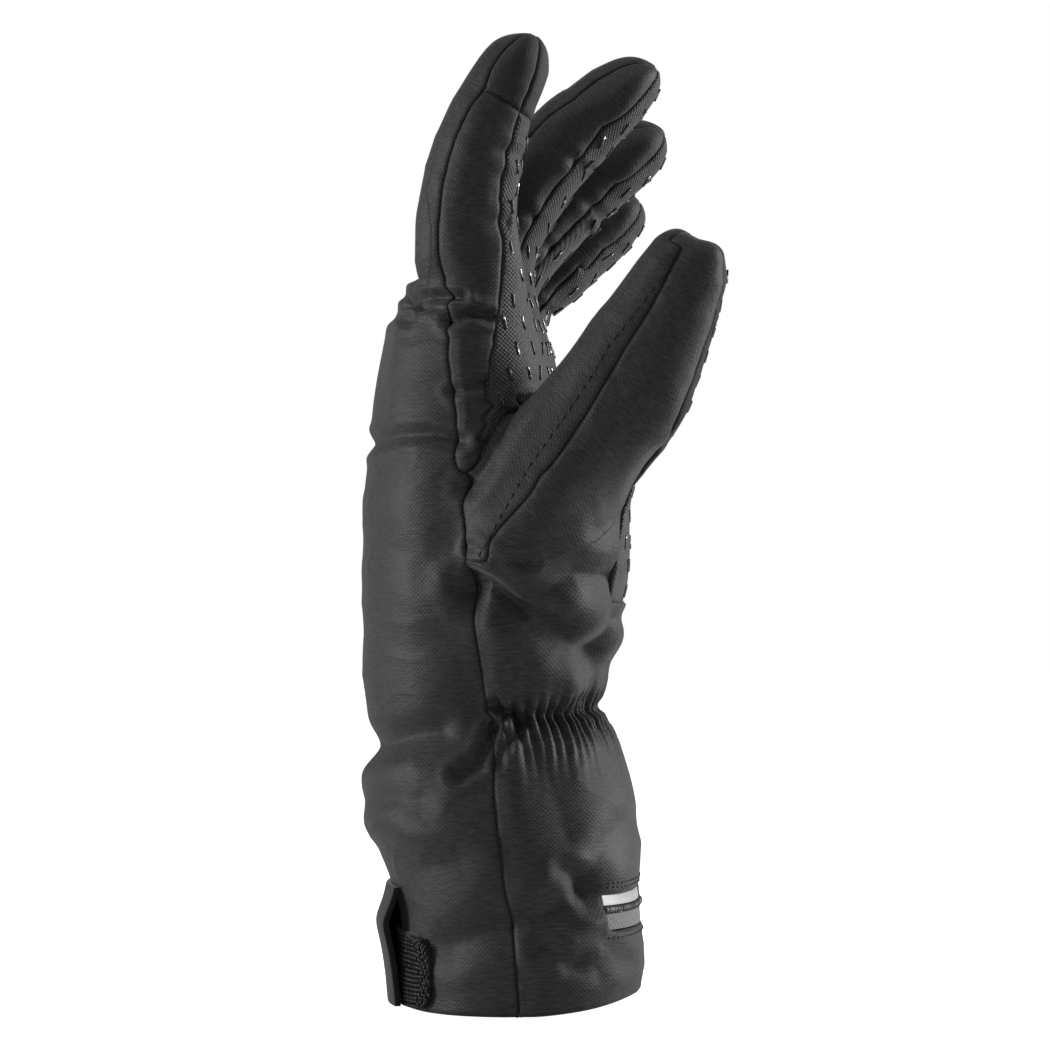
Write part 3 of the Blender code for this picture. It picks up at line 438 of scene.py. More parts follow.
def rebuilt_gather(form):
    """Swaps the coarse pleats of the gather for an even band on the same neck, for finer pleats."""
    middle = Vector((NECK_MIDDLE * MM, 0.0, 0.0))
    near = [vertex for vertex in form.verts if within(vertex, GATHER_LOW, GATHER_HIGH)]
    neck = [vertex.co - middle for vertex in near]
    neck = np.array([(math.atan2(place.y, place.x), place.z, math.hypot(place.x, place.y))
                     for place in neck])
    sides = [vertex.co.copy() for vertex in near if vertex.is_boundary]
    ends = {side: np.array(sorted((place.z, place.y, place.x) for place in sides
                                  if place.y * side > 0)) for side in (-1, 1)}
    pleated = [vertex for vertex in form.verts if within(vertex, GATHER_ROW_LOW, GATHER_ROW_HIGH)]
    bmesh.ops.delete(form, geom=pleated, context="VERTS")
    rows = [edge for edge in form.edges if edge.is_boundary
            and (all(within(vertex, GATHER_LOW, GATHER_ROW_LOW) for vertex in edge.verts)
                 or all(within(vertex, GATHER_ROW_HIGH, GATHER_HIGH) for vertex in edge.verts))]
    upright = bmesh.ops.bridge_loops(form, edges=rows)["edges"]
    bmesh.ops.subdivide_edges(form, edges=upright, cuts=3, use_grid_fill=True)
    level = [edge for edge in form.edges
             if all(within(vertex, GATHER_ROW_LOW, GATHER_ROW_HIGH) for vertex in edge.verts)
             and abs(edge.verts[0].co.z - edge.verts[1].co.z) < 0.5 * edge.calc_length()]
    bmesh.ops.subdivide_edges(form, edges=level, cuts=1, use_grid_fill=True)
    turn_reach, height_reach = NECK_BLEND
    for vertex in form.verts:
        if not within(vertex, GATHER_ROW_LOW, GATHER_ROW_HIGH):
            continue
        place = vertex.co - middle
        if vertex.is_boundary:
            run = ends[1 if place.y > 0 else -1]
            vertex.co.y = np.interp(place.z, run[:, 0], run[:, 1])
            vertex.co.x = np.interp(place.z, run[:, 0], run[:, 2])
            continue
        turn = math.atan2(place.y, place.x)
        weight = np.exp(-((neck[:, 0] - turn) / turn_reach) ** 2
                        - ((neck[:, 1] - place.z) / (height_reach * MM)) ** 2)
        radius = float((weight * neck[:, 2]).sum() / weight.sum())
        vertex.co = middle + Vector((math.cos(turn) * radius, math.sin(turn) * radius, place.z))


def cloth_shell(tree):
    """The outer faces of all cloth panels in one form. A face's material number is its panel's."""
    shell = bmesh.new()
    for number, node in enumerate(PANELS):
        sheet = outer_sheet(node, tree)
        if node == "front_panel":
            rebuilt_gather(sheet)
        for face in sheet.faces:
            face.material_index = number
        mesh = mesh_of(sheet, node)
        shell.from_mesh(mesh)
        bpy.data.meshes.remove(mesh)
    return shell


def open_rim(form):
    """The shell's open edges, apart from the hem's."""
    return [edge for edge in form.edges
            if edge.is_boundary and not all(at_hem(vertex.co) for vertex in edge.verts)]


def points_on(edges):
    """The points of some edges, each once and in a fixed order."""
    return list(dict.fromkeys(vertex for edge in edges for vertex in edge.verts))


def panels_at(vertex):
    """The numbers of the panels that meet at a point."""
    return {face.material_index for face in vertex.link_faces}


def weld_near_points(form, reach):
    """Joins rim points of different panels that are each other's nearest. Returns how many."""
    rim = points_on(open_rim(form))
    tree = KDTree(len(rim))
    for number, vertex in enumerate(rim):
        tree.insert(vertex.co, number)
    tree.balance()
    nearest = {}
    for number, vertex in enumerate(rim):
        own = panels_at(vertex)
        others = [(away, other) for _, other, away in tree.find_range(vertex.co, reach)
                  if other != number and not own & panels_at(rim[other])]
        if others:
            nearest[number] = min(others)[1]
    targets = {}
    for number, other in nearest.items():
        if number < other and nearest.get(other) == number:
            rim[other].co = (rim[number].co + rim[other].co) / 2
            targets[rim[number]] = rim[other]
    bmesh.ops.weld_verts(form, targetmap=targets)
    return len(targets)


def weld_points_to_edges(form, reach):
    """Cuts rim edges where another panel's rim point lies beside them, and joins the two. Returns
    how many."""
    edges = open_rim(form)
    taken, cuts = set(), []
    for vertex in points_on(edges):
        own = panels_at(vertex)
        best = None
        for edge in edges:
            first, last = edge.verts
            if edge in taken or vertex in (first, last) or edge.link_faces[0].material_index in own:
                continue
            step = last.co - first.co
            part = (vertex.co - first.co).dot(step) / step.length_squared
            if EDGE_END < part < 1.0 - EDGE_END:
                away = (first.co + step * part - vertex.co).length
                if away < reach and (best is None or away < best[0]):
                    best = (away, edge, part)
        if best:
            taken.add(best[1])
            cuts.append((vertex, best[1], best[2]))
    targets = {}
    for vertex, edge, part in cuts:
        _, made = bmesh.utils.edge_split(edge, edge.verts[0], part)
        targets[made] = vertex
    bmesh.ops.weld_verts(form, targetmap=targets)
    return len(targets)


def sew(form):
    """Sews the panels' rims together into one closed skin, open at the hem and the zip's window."""
    for reach in SEAM_REACHES:
        for _ in range(SEAM_TRIES):
            if not weld_near_points(form, reach * MM) + weld_points_to_edges(form, reach * MM):
                break
    bmesh.ops.dissolve_degenerate(form, dist=MERGE, edges=form.edges)
    gaps = [edge for edge in open_rim(form)
            if not all(at_window(vertex.co) for vertex in edge.verts)]
    filled = bmesh.ops.holes_fill(form, edges=gaps, sides=HOLE_SIDES)["faces"]
    for face in filled:
        beside = [other.material_index for edge in face.edges for other in edge.link_faces
                  if other not in filled]
        face.material_index = max(set(beside), key=beside.count)
    bmesh.ops.recalc_face_normals(form, faces=form.faces)


def parted(whole):
    """Parts the fine shell into its panels' meshes, each with its points' numbers in the shell."""
    form = bmesh.new()
    form.from_mesh(whole)
    number = form.verts.layers.int.new("number")
    for vertex in form.verts:
        vertex[number] = vertex.index
    sheets = {}
    for order, node in enumerate(PANELS):
        part = form.copy()
        others = [face for face in part.faces if face.material_index != order]
        bmesh.ops.delete(part, geom=others, context="FACES")
        for face in part.faces:
            face.material_index = 0
        mesh = mesh_of(part, node + "_cloth")
        numbers = np.zeros(len(mesh.vertices), np.int32)
        mesh.attributes["number"].data.foreach_get("value", numbers)
        mesh.attributes.remove(mesh.attributes["number"])
        sheets[node] = (mesh, numbers)
    form.free()
    return sheets


def seam_distance(mesh, points):
    """Distance of each point from the panel's seams, in millimetres."""
    rim = [index for index in rim_of(mesh) if not at_hem(points[index])]
    tree = KDTree(len(rim))
    for index in rim:
        tree.insert(points[index], index)
    tree.balance()
    return np.array([tree.find(point)[2] for point in points]) / MM


def cloth_noise(points, stretch, seed):
    """Smooth uneven values of about -1 to 1 over the cloth."""
    offset = Vector((seed * 7.3, seed * 3.1, seed * 5.7))
    scale = Vector(stretch)
    return np.array([noise.noise(Vector(point) * scale + offset) for point in points])


def pleat_lift(points, around, rim):
    """The elastic's valley round the wrist and the pleats that it draws."""
    wander = cloth_noise(points, (60, 60, 0), 3)
    above = points[:, 2] / MM - ELASTIC_HEIGHT - wander * 0.8
    reach = np.where(above > 0, PLEAT_ABOVE, PLEAT_BELOW)
    strength = 0.75 + 0.6 * cloth_noise(points, (95, 95, 0), 5)
    fan = 1.0 - np.clip(above, -PLEAT_FAN_REACH, PLEAT_FAN_REACH) * PLEAT_FAN
    phase = (around / MM - PLEAT_MIDDLE) / PLEAT_PITCH * 2 * math.pi * fan + wander * 3.2
    pleats = PLEAT_DEPTH * np.exp(-(above / reach) ** 2) * (1.7 * np.abs(np.cos(phase / 2.0)) - 1.1)
    waves = WAVE_LIFT * np.exp(-(above / WAVE_REACH) ** 2) * np.cos(phase / WAVE_PLEATS + 1.0)
    valley = -ELASTIC_DEPTH * np.exp(-(above / ELASTIC_WIDTH) ** 2)
    shoulders = SHOULDER_LIFT * np.exp(-((np.abs(above) - SHOULDER_AWAY) / SHOULDER_WIDTH) ** 2)
    return (strength * (pleats + waves) + valley) * smooth_step(rim / PLEAT_FROM_SEAM) + shoulders


def fold_lift(points, normals):
    """The folds' valleys and the ridges beside them, as the camera sees them."""
    lift = np.zeros(len(points))
    seen = seen_places(points)
    for line, half_width, depth, ridge, wrap in FOLDS:
        away = line_distance(seen, line) / half_width
        near = smooth_step((wrap - normals[:, 1]) / 0.5 + 0.2)
        valley = -depth * np.exp(-np.abs(away) ** 1.5)
        beside = ridge * np.exp(-(away - 2.2) ** 2)
        lift += near * (valley + beside)
    return lift


def crease_lift(points, limb, along, palm_turn):
    """The creases of the fingers' bends, each with a ridge on either side."""
    lift = np.zeros(len(points))
    wander = cloth_noise(points, (45, 45, 45), 9) * CREASE_WANDER
    for name, place, half_width, depth, on_palm in CREASES:
        here = (limb == LIMB_ORDER.index(name)) * smooth_step(along / (4 * MM))
        side = smooth_step(palm_turn + 0.3) if on_palm else smooth_step(0.3 - palm_turn)
        away = np.abs((along / MM - place + wander) / half_width)
        ridges = 0.5 * np.exp(-((away - 2.1) / 1.1) ** 2)
        lift += here * side * depth * (ridges - np.exp(-away ** 1.6))
    return lift


def slack_lift(points, limb, along, rim):
    """Uneven cloth: puckers at seams, slow swells, crumples, and more slack on the far fingers."""
    lift = 0.42 * cloth_noise(points, (120, 120, 190), 1) * np.exp(-rim / 4.5)
    lift += 0.38 * cloth_noise(points, (26, 26, 34), 2)
    crumple = 1.0 - 2.2 * np.abs(cloth_noise(points, (42, 42, 66), 4))
    lift += 0.30 * np.maximum(crumple, 0.0) ** 3
    far = np.isin(limb, [LIMB_ORDER.index(name) for name in ("middle", "ring", "little")])
    far = far * smooth_step(along / (14 * MM))
    return lift + far * 0.8 * cloth_noise(points, (75, 75, 95), 6)


def panel_lift(mesh, node, points, normals):
    """How far a panel's points move off the shell: padding, seams, folds, pleats and slack. Also
    each point's limb, place along and round it, and distance from the seams."""
    on_back = node == "back_panel"
    limb, along, around, turn = limb_places(points, limbs_of(node), on_back)
    rim = seam_distance(mesh, points)
    lift = PANELS[node][2] * (1.0 - np.exp(-rim / SWELL_REACH))
    lift += SEAM_FILL * np.exp(-(rim / FILL_REACH) ** 2)
    lift -= SEAM_GROOVE * np.exp(-(rim / GROOVE_REACH) ** 2)
    if not node.startswith("fourchette") and node not in ("palm_grip", "thumb_grip"):
        lift += fold_lift(points, normals)
    lift += crease_lift(points, limb, along, -np.cos(turn) if on_back else np.cos(turn))
    for place, half_width, amount in TIP_SHAPE:
        away = np.linalg.norm(seen_places(points) - np.array(place), axis=1) / half_width
        lift += (limb == LIMB_ORDER.index("thumb")) * amount * np.exp(-away ** 2)
    if node == "front_panel":
        lift += pleat_lift(points, around, rim)
    return lift + slack_lift(points, limb, along, rim), limb, along, around, rim


def weave_map(mesh, along, around):
    """Stores metres round and along the limb as the piece's UV map, for the run of the threads."""
    corners = np.zeros(len(mesh.loops), int)
    mesh.loops.foreach_get("vertex_index", corners)
    places = np.stack((around[corners], along[corners]), axis=1)
    mesh.uv_layers.new(name="weave").data.foreach_set("uv", places.ravel())


def cuff_map(mesh, back):
    """Metres round the cuff and up it, as the piece's UV map, from the back or from the palm."""
    _, along, around, _ = limb_places(mesh_points(mesh), ("hand",), back)
    weave_map(mesh, along, around)
    return along, around


def thickened(piece):
    """Gives a sheet its wall, inwards, and thins the inner face of a large one."""
    thick = piece.modifiers.new("wall", "SOLIDIFY")
    thick.thickness = WALL * MM
    thick.offset = -1.0
    thick.use_rim = True
    triangles = len(piece.data.polygons) * 4
    if triangles > TRIANGLE_LIMIT:
        inner = piece.vertex_groups.new(name="inner_wall")
        thick.shell_vertex_group = inner.name
        thinner = piece.modifiers.new("inner_wall_thinned", "DECIMATE")
        thinner.ratio = TRIANGLE_LIMIT / triangles
        thinner.vertex_group = inner.name


def dress_panels(finishes):
    """All cloth panels. Returns what the stitches and dashes need to know of each."""
    shell = cloth_shell(cloth_tree())
    sew(shell)
    whole = refined(shell, CLOTH_LEVELS, "cloth_shell")
    points, normals = mesh_points(whole), mesh_normals(whole)
    lift, shares = np.zeros(len(points)), np.zeros(len(points))
    runs = {}
    sheets = parted(whole)
    for node, (mesh, numbers) in sheets.items():
        raised, *runs[node] = panel_lift(mesh, node, points[numbers], normals[numbers])
        lift[numbers] += raised
        shares[numbers] += 1.0
    lift /= np.maximum(shares, 1.0)
    moved = points + normals * (lift * MM)[:, None]
    skins = {}
    for node, (finish, slot, _) in PANELS.items():
        mesh, numbers = sheets[node]
        mesh.vertices.foreach_set("co", moved[numbers].ravel())
        mesh.update()
        limb, along, around, rim = runs[node]
        weave_map(mesh, along, around)
        # Painted shade: the seams and the zip window's edge get a dark line in the colour, for the
        # groove's shadow
        seam = mesh.attributes.new("seam", "FLOAT", "POINT")
        shade = np.exp(-(rim / SEAM_PAINTED_SHADE_REACH) ** 2)
        seam.data.foreach_set("value", shade.astype(np.float32))
        piece = new_piece(node + "_cloth", mesh, finishes[finish], (node,))
        thickened(piece)
        skins[node] = (piece, limb, along, around)
    bpy.data.meshes.remove(whole)
    return skins


def skin_tree(piece):
    """A piece's outer face in a tree, for rays."""
    form = bmesh.new()
    form.from_mesh(piece.data)
    tree = BVHTree.FromBMesh(form)
    form.free()
    return tree


# ---- small parts on the cloth ----


def surface_frame(place, normal, way):
    """A turn and place with X along the way, Z off the cloth."""
    way = (way - normal * way.dot(normal)).normalized()
    across = normal.cross(way)
    turn = Matrix((way, across, normal)).transposed().to_4x4()
    return Matrix.Translation(place) @ turn


def sized(matrix, size):
    """A frame on the cloth with a size in millimetres."""
    return matrix @ Matrix.Diagonal([side * MM for side in size] + [1.0])


def lay_stitches(form, tree, rays, stitch):
    """Lays a row of thread stitches, long rounded beads, where rays meet the cloth."""
    pitch, size, off, longest = stitch
    found = [tree.ray_cast(start, way)[:2] for start, way in rays]
    hits = [(place, normal) for place, normal in found if place is not None]
    travelled = 0.0
    for (here, normal), (after, _) in zip(hits, hits[1:]):
        step = (after - here).length
        travelled += step
        if travelled > pitch * MM and step < longest * MM:
            travelled = 0.0
            matrix = surface_frame(here + normal * off * MM, normal, after - here)
            bmesh.ops.create_uvsphere(form, u_segments=6, v_segments=4, radius=1.0,
                                      matrix=sized(matrix, size))


def finish_form(form, name, finish):
    """Makes a piece of its own from a form."""
    bmesh.ops.recalc_face_normals(form, faces=form.faces)
    new_piece(name, mesh_of(form, name), finish)


def seen_ray(place):
    """The camera's ray through a place in the glove's middle plane."""
    start = Vector((CAMERA_TARGET.x, -CAMERA_DISTANCE, CAMERA_TARGET.z))
    target = Vector((place[0] * MM, 0.0, place[1] * MM))
    return start, (target - start).normalized()


def add_topstitching(skins, finishes):
    """The topstitch row that runs beside the thumb's seam."""
    form = bmesh.new()
    knots = [np.array(point, float) for point in TOPSTITCH]
    places = []
    for first, last in zip(knots, knots[1:]):
        count = max(1, int(np.linalg.norm(last - first) / TOPSTITCH_STEP))
        places += [first + (last - first) * step / count for step in range(count)]
    rays = [seen_ray(place) for place in places]
    lay_stitches(form, skin_tree(skins["thumb_back"][0]), rays, THUMB_STITCH)
    finish_form(form, "thumb_topstitch", finishes["thread"])


def run_tree(around, along, chosen):
    """A tree of some points' places round and along their limb, and the bounds of these places."""
    tree = KDTree(len(chosen))
    for index in chosen:
        tree.insert((around[index], along[index], 0.0), int(index))
    tree.balance()
    low = (around[chosen].min(), along[chosen].min())
    high = (around[chosen].max(), along[chosen].max())
    return tree, low, high


def add_dash(form, place, normal, way):
    """One raised rubber dash with softened edges."""
    matrix = surface_frame(place + normal * DASH_OFF * MM, normal, way)
    made = bmesh.ops.create_cube(form, size=1.0, matrix=sized(matrix, DASH_SIZE))
    edges = dict.fromkeys(edge for vertex in made["verts"] for edge in vertex.link_edges)
    bmesh.ops.bevel(form, geom=list(edges), offset=DASH_BEVEL * MM, segments=1, profile=0.5,
                    affect="EDGES", material=-1)


def add_grip_dashes(skins, finishes):
    """The raised rubber dashes of the grip fabric, in staggered rows along each limb."""
    for node in ("palm_grip", "thumb_grip"):
        piece, limb, along, around = skins[node]
        points, normals = mesh_points(piece.data), mesh_normals(piece.data)
        rim = seam_distance(piece.data, points)
        form = bmesh.new()
        for number in sorted(set(limb.tolist())):
            tree, low, high = run_tree(around, along, np.nonzero(limb == number)[0])
            row = 0
            place_along = low[1] + DASH_FIRST * MM
            while place_along < high[1]:
                swing = math.radians(DASH_TURNS[row % 2])
                place_around = low[0] + (row % 2) * DASH_STAGGER * MM
                while place_around < high[0]:
                    _, index, away = tree.find((place_around, place_along, 0.0))
                    other = tree.find((place_around, place_along + DASH_LOOK * MM, 0.0))[1]
                    place, normal = Vector(points[index]), Vector(normals[index])
                    way = Vector(points[other]) - place
                    on_cloth = away < DASH_REACH * MM and rim[index] > DASH_FROM_SEAM
                    if on_cloth and way.length > DASH_WAY * MM:
                        add_dash(form, place, normal, Matrix.Rotation(swing, 3, normal) @ way)
                    place_around += DASH_AROUND * MM
                place_along += DASH_ALONG * MM
                row += 1
        finish_form(form, node + "_dashes", finishes["grip_rubber"])


# ---- closure and zip ----


def closed_copy(node, bevel, levels):
    """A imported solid's merged copy with softened rims, made finer. The bevel is in millimetres."""
    form = merged_copy(node)
    bmesh.ops.join_triangles(form, faces=form.faces, angle_face_threshold=math.radians(40),
                             angle_shape_threshold=math.pi)
    sharp = [edge for edge in form.edges
             if edge.is_manifold and edge.calc_face_angle(0.0) > math.radians(50)]
    bmesh.ops.bevel(form, geom=sharp, offset=bevel * MM, segments=BEVEL_STEPS, profile=0.5,
                    affect="EDGES", material=-1)
    return refined(form, levels, node + "_form")


def dress_strap(finishes):
    """The webbing strap."""
    mesh = closed_copy("cuff_strap", 0.5, 2)
    cuff_map(mesh, True)
    new_piece("strap_webbing", mesh, finishes["strap_webbing"], ("cuff_strap",))


def dress_hook_patch(finishes):
    """The hook patch with its small hooks in staggered rows."""
    mesh = closed_copy("cuff_hook_patch", 0.35, 2)
    along, around = cuff_map(mesh, True)
    new_piece("hook_patch", mesh, finishes["hook_tape"], ("cuff_hook_patch",))
    points, normals = mesh_points(mesh), mesh_normals(mesh)
    outward = points * (1.0, 1.0, 0.0)
    outside = np.sum(normals * outward, axis=1) > HOOK_FACING * np.linalg.norm(outward, axis=1)
    tree, low, high = run_tree(around, along, np.nonzero(outside)[0])
    form = bmesh.new()
    pitch = HOOK_PITCH * MM
    for row in range(int((high[1] - low[1]) / pitch)):
        for column in range(int((high[0] - low[0]) / pitch)):
            spot = (low[0] + (column + 0.5 * (row % 2)) * pitch + HOOK_FIRST * MM,
                    low[1] + row * pitch + HOOK_FIRST * MM, 0.0)
            _, index, away = tree.find(spot)
            if away > HOOK_REACH * MM:
                continue
            normal = Vector(normals[index])
            matrix = surface_frame(Vector(points[index]) + normal * HOOK_OFF * MM, normal,
                                   Vector(HOOK_WAYS[(row + column) % 2]))
            bmesh.ops.create_icosphere(form, subdivisions=1, radius=1.0,
                                       matrix=sized(matrix, HOOK_SIZE))
    finish_form(form, "hook_rows", finishes["hook_bristle"])


def dress_zip(finishes):
    """The two tapes, the coil with its teeth, the slider and its pull."""
    for node, finish in (("zip_tape_upper", "zip_coated"), ("zip_tape_lower", "zip_twill")):
        mesh = closed_copy(node, 0.2, 2)
        cuff_map(mesh, False)
        new_piece(node + "_ribbon", mesh, finishes[finish], (node,))
    mesh = closed_copy("zip_coil", 0.1, 1)
    points = mesh_points(mesh)
    new_piece("zip_coil_core", mesh, finishes["zip_coil"], ("zip_coil",))
    groups = np.array_split(np.argsort(np.arctan2(points[:, 1], points[:, 0])), TOOTH_PLACES)
    centres = [Vector(points[group].mean(axis=0)) for group in groups]
    form = bmesh.new()
    for here, after in zip(centres, centres[1:]):
        for part in (0.0, 0.5):
            middle = here.lerp(after, part)
            outward = Vector((middle.x, middle.y, 0.0)).normalized()
            matrix = surface_frame(middle + outward * TOOTH_OFF * MM, outward, Vector((0, 0, 1)))
            bmesh.ops.create_uvsphere(form, u_segments=8, v_segments=5, radius=1.0,
                                      matrix=sized(matrix, TOOTH_SIZE))
    finish_form(form, "zip_teeth", finishes["zip_coil"])
    for node in ("zip_slider", "zip_pull"):
        mesh = closed_copy(node, 0.15, 2)
        new_piece(node + "_metal", mesh, finishes["slider_metal"], (node,))


def add_zip_stitching(skins, finishes):
    """The stitch rows above and below the zip's window."""
    form = bmesh.new()
    tree = skin_tree(skins["front_panel"][0])
    for height in ZIP_STITCH_HEIGHTS:
        rays = []
        for step in range(int((ZIP_STITCH_END - ZIP_STITCH_START) / ZIP_STITCH_STEP)):
            turn = math.radians(ZIP_STITCH_START + step * ZIP_STITCH_STEP)
            way = Vector((math.cos(turn), math.sin(turn), 0.0))
            rays.append((Vector((0.0, 0.0, height * MM)) + way * ZIP_STITCH_FROM * MM, -way))
        lay_stitches(form, tree, rays, ZIP_STITCH)
    finish_form(form, "zip_stitching", finishes["thread"])


# ---- finishes ----


def feed(tree, socket, value):
    """Links a socket to another, or sets its value."""
    if isinstance(value, bpy.types.NodeSocket):
        tree.links.new(value, socket)
    else:
        socket.default_value = value


def add_node(tree, kind, inputs, **settings):
    """A shader node with its settings, its inputs set to values or linked to sockets."""
    made = tree.nodes.new("ShaderNode" + kind)
    for name, value in settings.items():
        setattr(made, name, value)
    for name, value in inputs.items():
        feed(tree, made.inputs[name], value)
    return made


def math_node(tree, operation, *values):
    """A sum of sockets or numbers. Returns its socket."""
    return add_node(tree, "Math", dict(enumerate(values)), operation=operation).outputs[0]


def node_group(name, place, numbers, outputs):
    """A new node group with a place and numbers for inputs. Returns also their sockets inside."""
    tree = bpy.data.node_groups.new(name, "ShaderNodeTree")
    tree.interface.new_socket(name=place, in_out="INPUT", socket_type="NodeSocketVector")
    number = "NodeSocketFloat"
    for label, value in numbers:
        socket = tree.interface.new_socket(name=label, in_out="INPUT", socket_type=number)
        socket.default_value = value
    for label in outputs:
        tree.interface.new_socket(name=label, in_out="OUTPUT", socket_type=number)
    return tree, tree.nodes.new("NodeGroupInput").outputs, tree.nodes.new("NodeGroupOutput").inputs


def thread_group():
    """Woven threads: long streaks of weft with fine warp across, and slow changes of shade."""
    tree, given, out = node_group("woven_threads", "Place", (
        ("Thread", 1800.0), ("Streak", 0.16), ("Cross", 0.5)), ("Height", "Shade"))
    split = add_node(tree, "SeparateXYZ", {0: given["Place"]}).outputs
    across = math_node(tree, "MULTIPLY", split[0], given["Thread"])
    up = math_node(tree, "MULTIPLY", split[1], given["Thread"])
    long_way = math_node(tree, "MULTIPLY", across, given["Streak"])
    join = add_node(tree, "CombineXYZ", {0: long_way, 1: up}).outputs[0]
    noisy = add_node(tree, "TexNoise", {"Scale": 1.0, "Detail": 2.0, "Vector": join})
    streaks = noisy.outputs["Fac"]
    weft = math_node(tree, "SINE", math_node(tree, "MULTIPLY", up, math.pi))
    warp = math_node(tree, "SINE", math_node(tree, "MULTIPLY", across, math.pi))
    cells = math_node(tree, "MULTIPLY", weft, warp)
    crossed = math_node(tree, "MULTIPLY", cells, given["Cross"])
    height = math_node(tree, "ADD", streaks, math_node(tree, "MULTIPLY", crossed, 0.5))
    shade = math_node(tree, "ADD", math_node(tree, "MULTIPLY", streaks, 0.7),
                      math_node(tree, "MULTIPLY", crossed, 0.18))
    feed(tree, out["Height"], height)
    feed(tree, out["Shade"], shade)
    return tree


def wear_group():
    """Slow uneven shade over the cloth, from Object coordinates."""
    tree, given, out = node_group("cloth_unevenness", "Place", (
        ("Scale", 30.0), ("Low", 0.85), ("High", 1.15)), ("Shade",))
    cloudy = add_node(tree, "TexNoise", {"Detail": 3.0, "Vector": given["Place"],
                                         "Scale": given["Scale"]})
    ramp = add_node(tree, "MapRange", {
        "From Min": 0.3, "From Max": 0.7, "To Min": given["Low"], "To Max": given["High"],
        "Value": cloudy.outputs["Fac"]})
    feed(tree, out["Shade"], ramp.outputs["Result"])
    return tree


def uneven_material(name, wear, scale):
    """A new material with the shared unevenness. Returns also its tree, shader and shade."""
    material = bpy.data.materials.new(name)
    material.use_nodes = True
    tree = material.node_tree
    place = add_node(tree, "TexCoord", {}).outputs["Object"]
    uneven = add_node(tree, "Group", {"Place": place, "Scale": scale}, node_tree=wear)
    return material, tree, tree.nodes["Principled BSDF"].inputs, uneven.outputs["Shade"]


def tinted(tree, shader, colour, strength, roughness, shade):
    """Feeds the base colour, a colour times a strength, and the roughness times the shade."""
    tint = add_node(tree, "VectorMath", {0: colour, "Scale": strength}, operation="SCALE")
    feed(tree, shader["Base Color"], tint.outputs[0])
    feed(tree, shader["Roughness"], math_node(tree, "MULTIPLY", shade, roughness))


def cloth_finish(name, colour, threads, wear, thread, streak, cross, bump, depth=0.00012,
                 roughness=0.7, contrast=0.5, sheen=0.25, sheen_roughness=0.45, specular=0.35,
                 seams=False):
    """A woven or knitted cloth from the shared groups."""
    material, tree, shader, shade = uneven_material(name, wear, CLOTH_WEAR)
    weave_uv = add_node(tree, "UVMap", {}, uv_map="weave").outputs["UV"]
    looks = {"Place": weave_uv, "Thread": thread, "Streak": streak, "Cross": cross}
    woven = add_node(tree, "Group", looks, node_tree=threads).outputs
    ramp = add_node(tree, "MapRange", {
        "From Min": 0.15, "From Max": 0.6, "To Min": 1.0 - contrast, "To Max": 1.0 + contrast,
        "Value": woven["Shade"]})
    strength = math_node(tree, "MULTIPLY", ramp.outputs["Result"], shade)
    # Painted shade: the base colour darkens along the seams, where the groove's shadow falls
    if seams:
        seam = add_node(tree, "Attribute", {}, attribute_name="seam").outputs["Fac"]
        painted_seam_shade = math_node(tree, "MULTIPLY", seam, SEAM_PAINTED_SHADE)
        strength = math_node(tree, "MULTIPLY", strength, math_node(tree, "SUBTRACT", 1.0, painted_seam_shade))
    tinted(tree, shader, colour, strength, roughness, shade)
    relief = add_node(tree, "Bump", {"Strength": bump, "Distance": depth,
                                     "Height": woven["Height"]})
    feed(tree, shader["Normal"], relief.outputs["Normal"])
    shader["Sheen Weight"].default_value = sheen
    shader["Sheen Roughness"].default_value = sheen_roughness
    shader["Specular IOR Level"].default_value = specular
    return material


def moulded_finish(name, colour, wear, roughness, metallic=0.0, coat=0.0, scale=60.0):
    """Rubber, plastic, thread or metal with a slightly uneven face."""
    material, tree, shader, shade = uneven_material(name, wear, scale)
    tinted(tree, shader, colour, shade, roughness, shade)
    shader["Metallic"].default_value = metallic
    shader["Coat Weight"].default_value = coat
    return material


def painted_glint_finish(name, wear):
    """Black glossy rubber with painted glints: silver metallic dots in its colour stand in for
    highlights.
    """
    material = moulded_finish(name, (0.012, 0.012, 0.0125), wear, 0.22, coat=0.7)
    tree = material.node_tree
    shader = tree.nodes["Principled BSDF"].inputs
    place = add_node(tree, "TexCoord", {}).outputs["Object"]
    # Painted glints: where the noise peaks the colour turns silver and metallic, for the dashes'
    # highlights
    painted_glint_noise = add_node(tree, "TexNoise", {"Scale": 420.0, "Detail": 1.0, "Vector": place})
    narrow = {"From Min": 0.62, "From Max": 0.67, "Value": painted_glint_noise.outputs["Fac"]}
    painted_glint_mask = add_node(tree, "MapRange", narrow).outputs["Result"]
    # Inputs 6 and 7 and output 2 of a mix are its colours
    dark = shader["Base Color"].links[0].from_socket
    blend = add_node(tree, "Mix", {"Factor": painted_glint_mask, 6: dark, 7: (0.75, 0.76, 0.78, 1.0)},
                     data_type="RGBA")
    feed(tree, shader["Base Color"], blend.outputs[2])
    feed(tree, shader["Metallic"], painted_glint_mask)
    return material


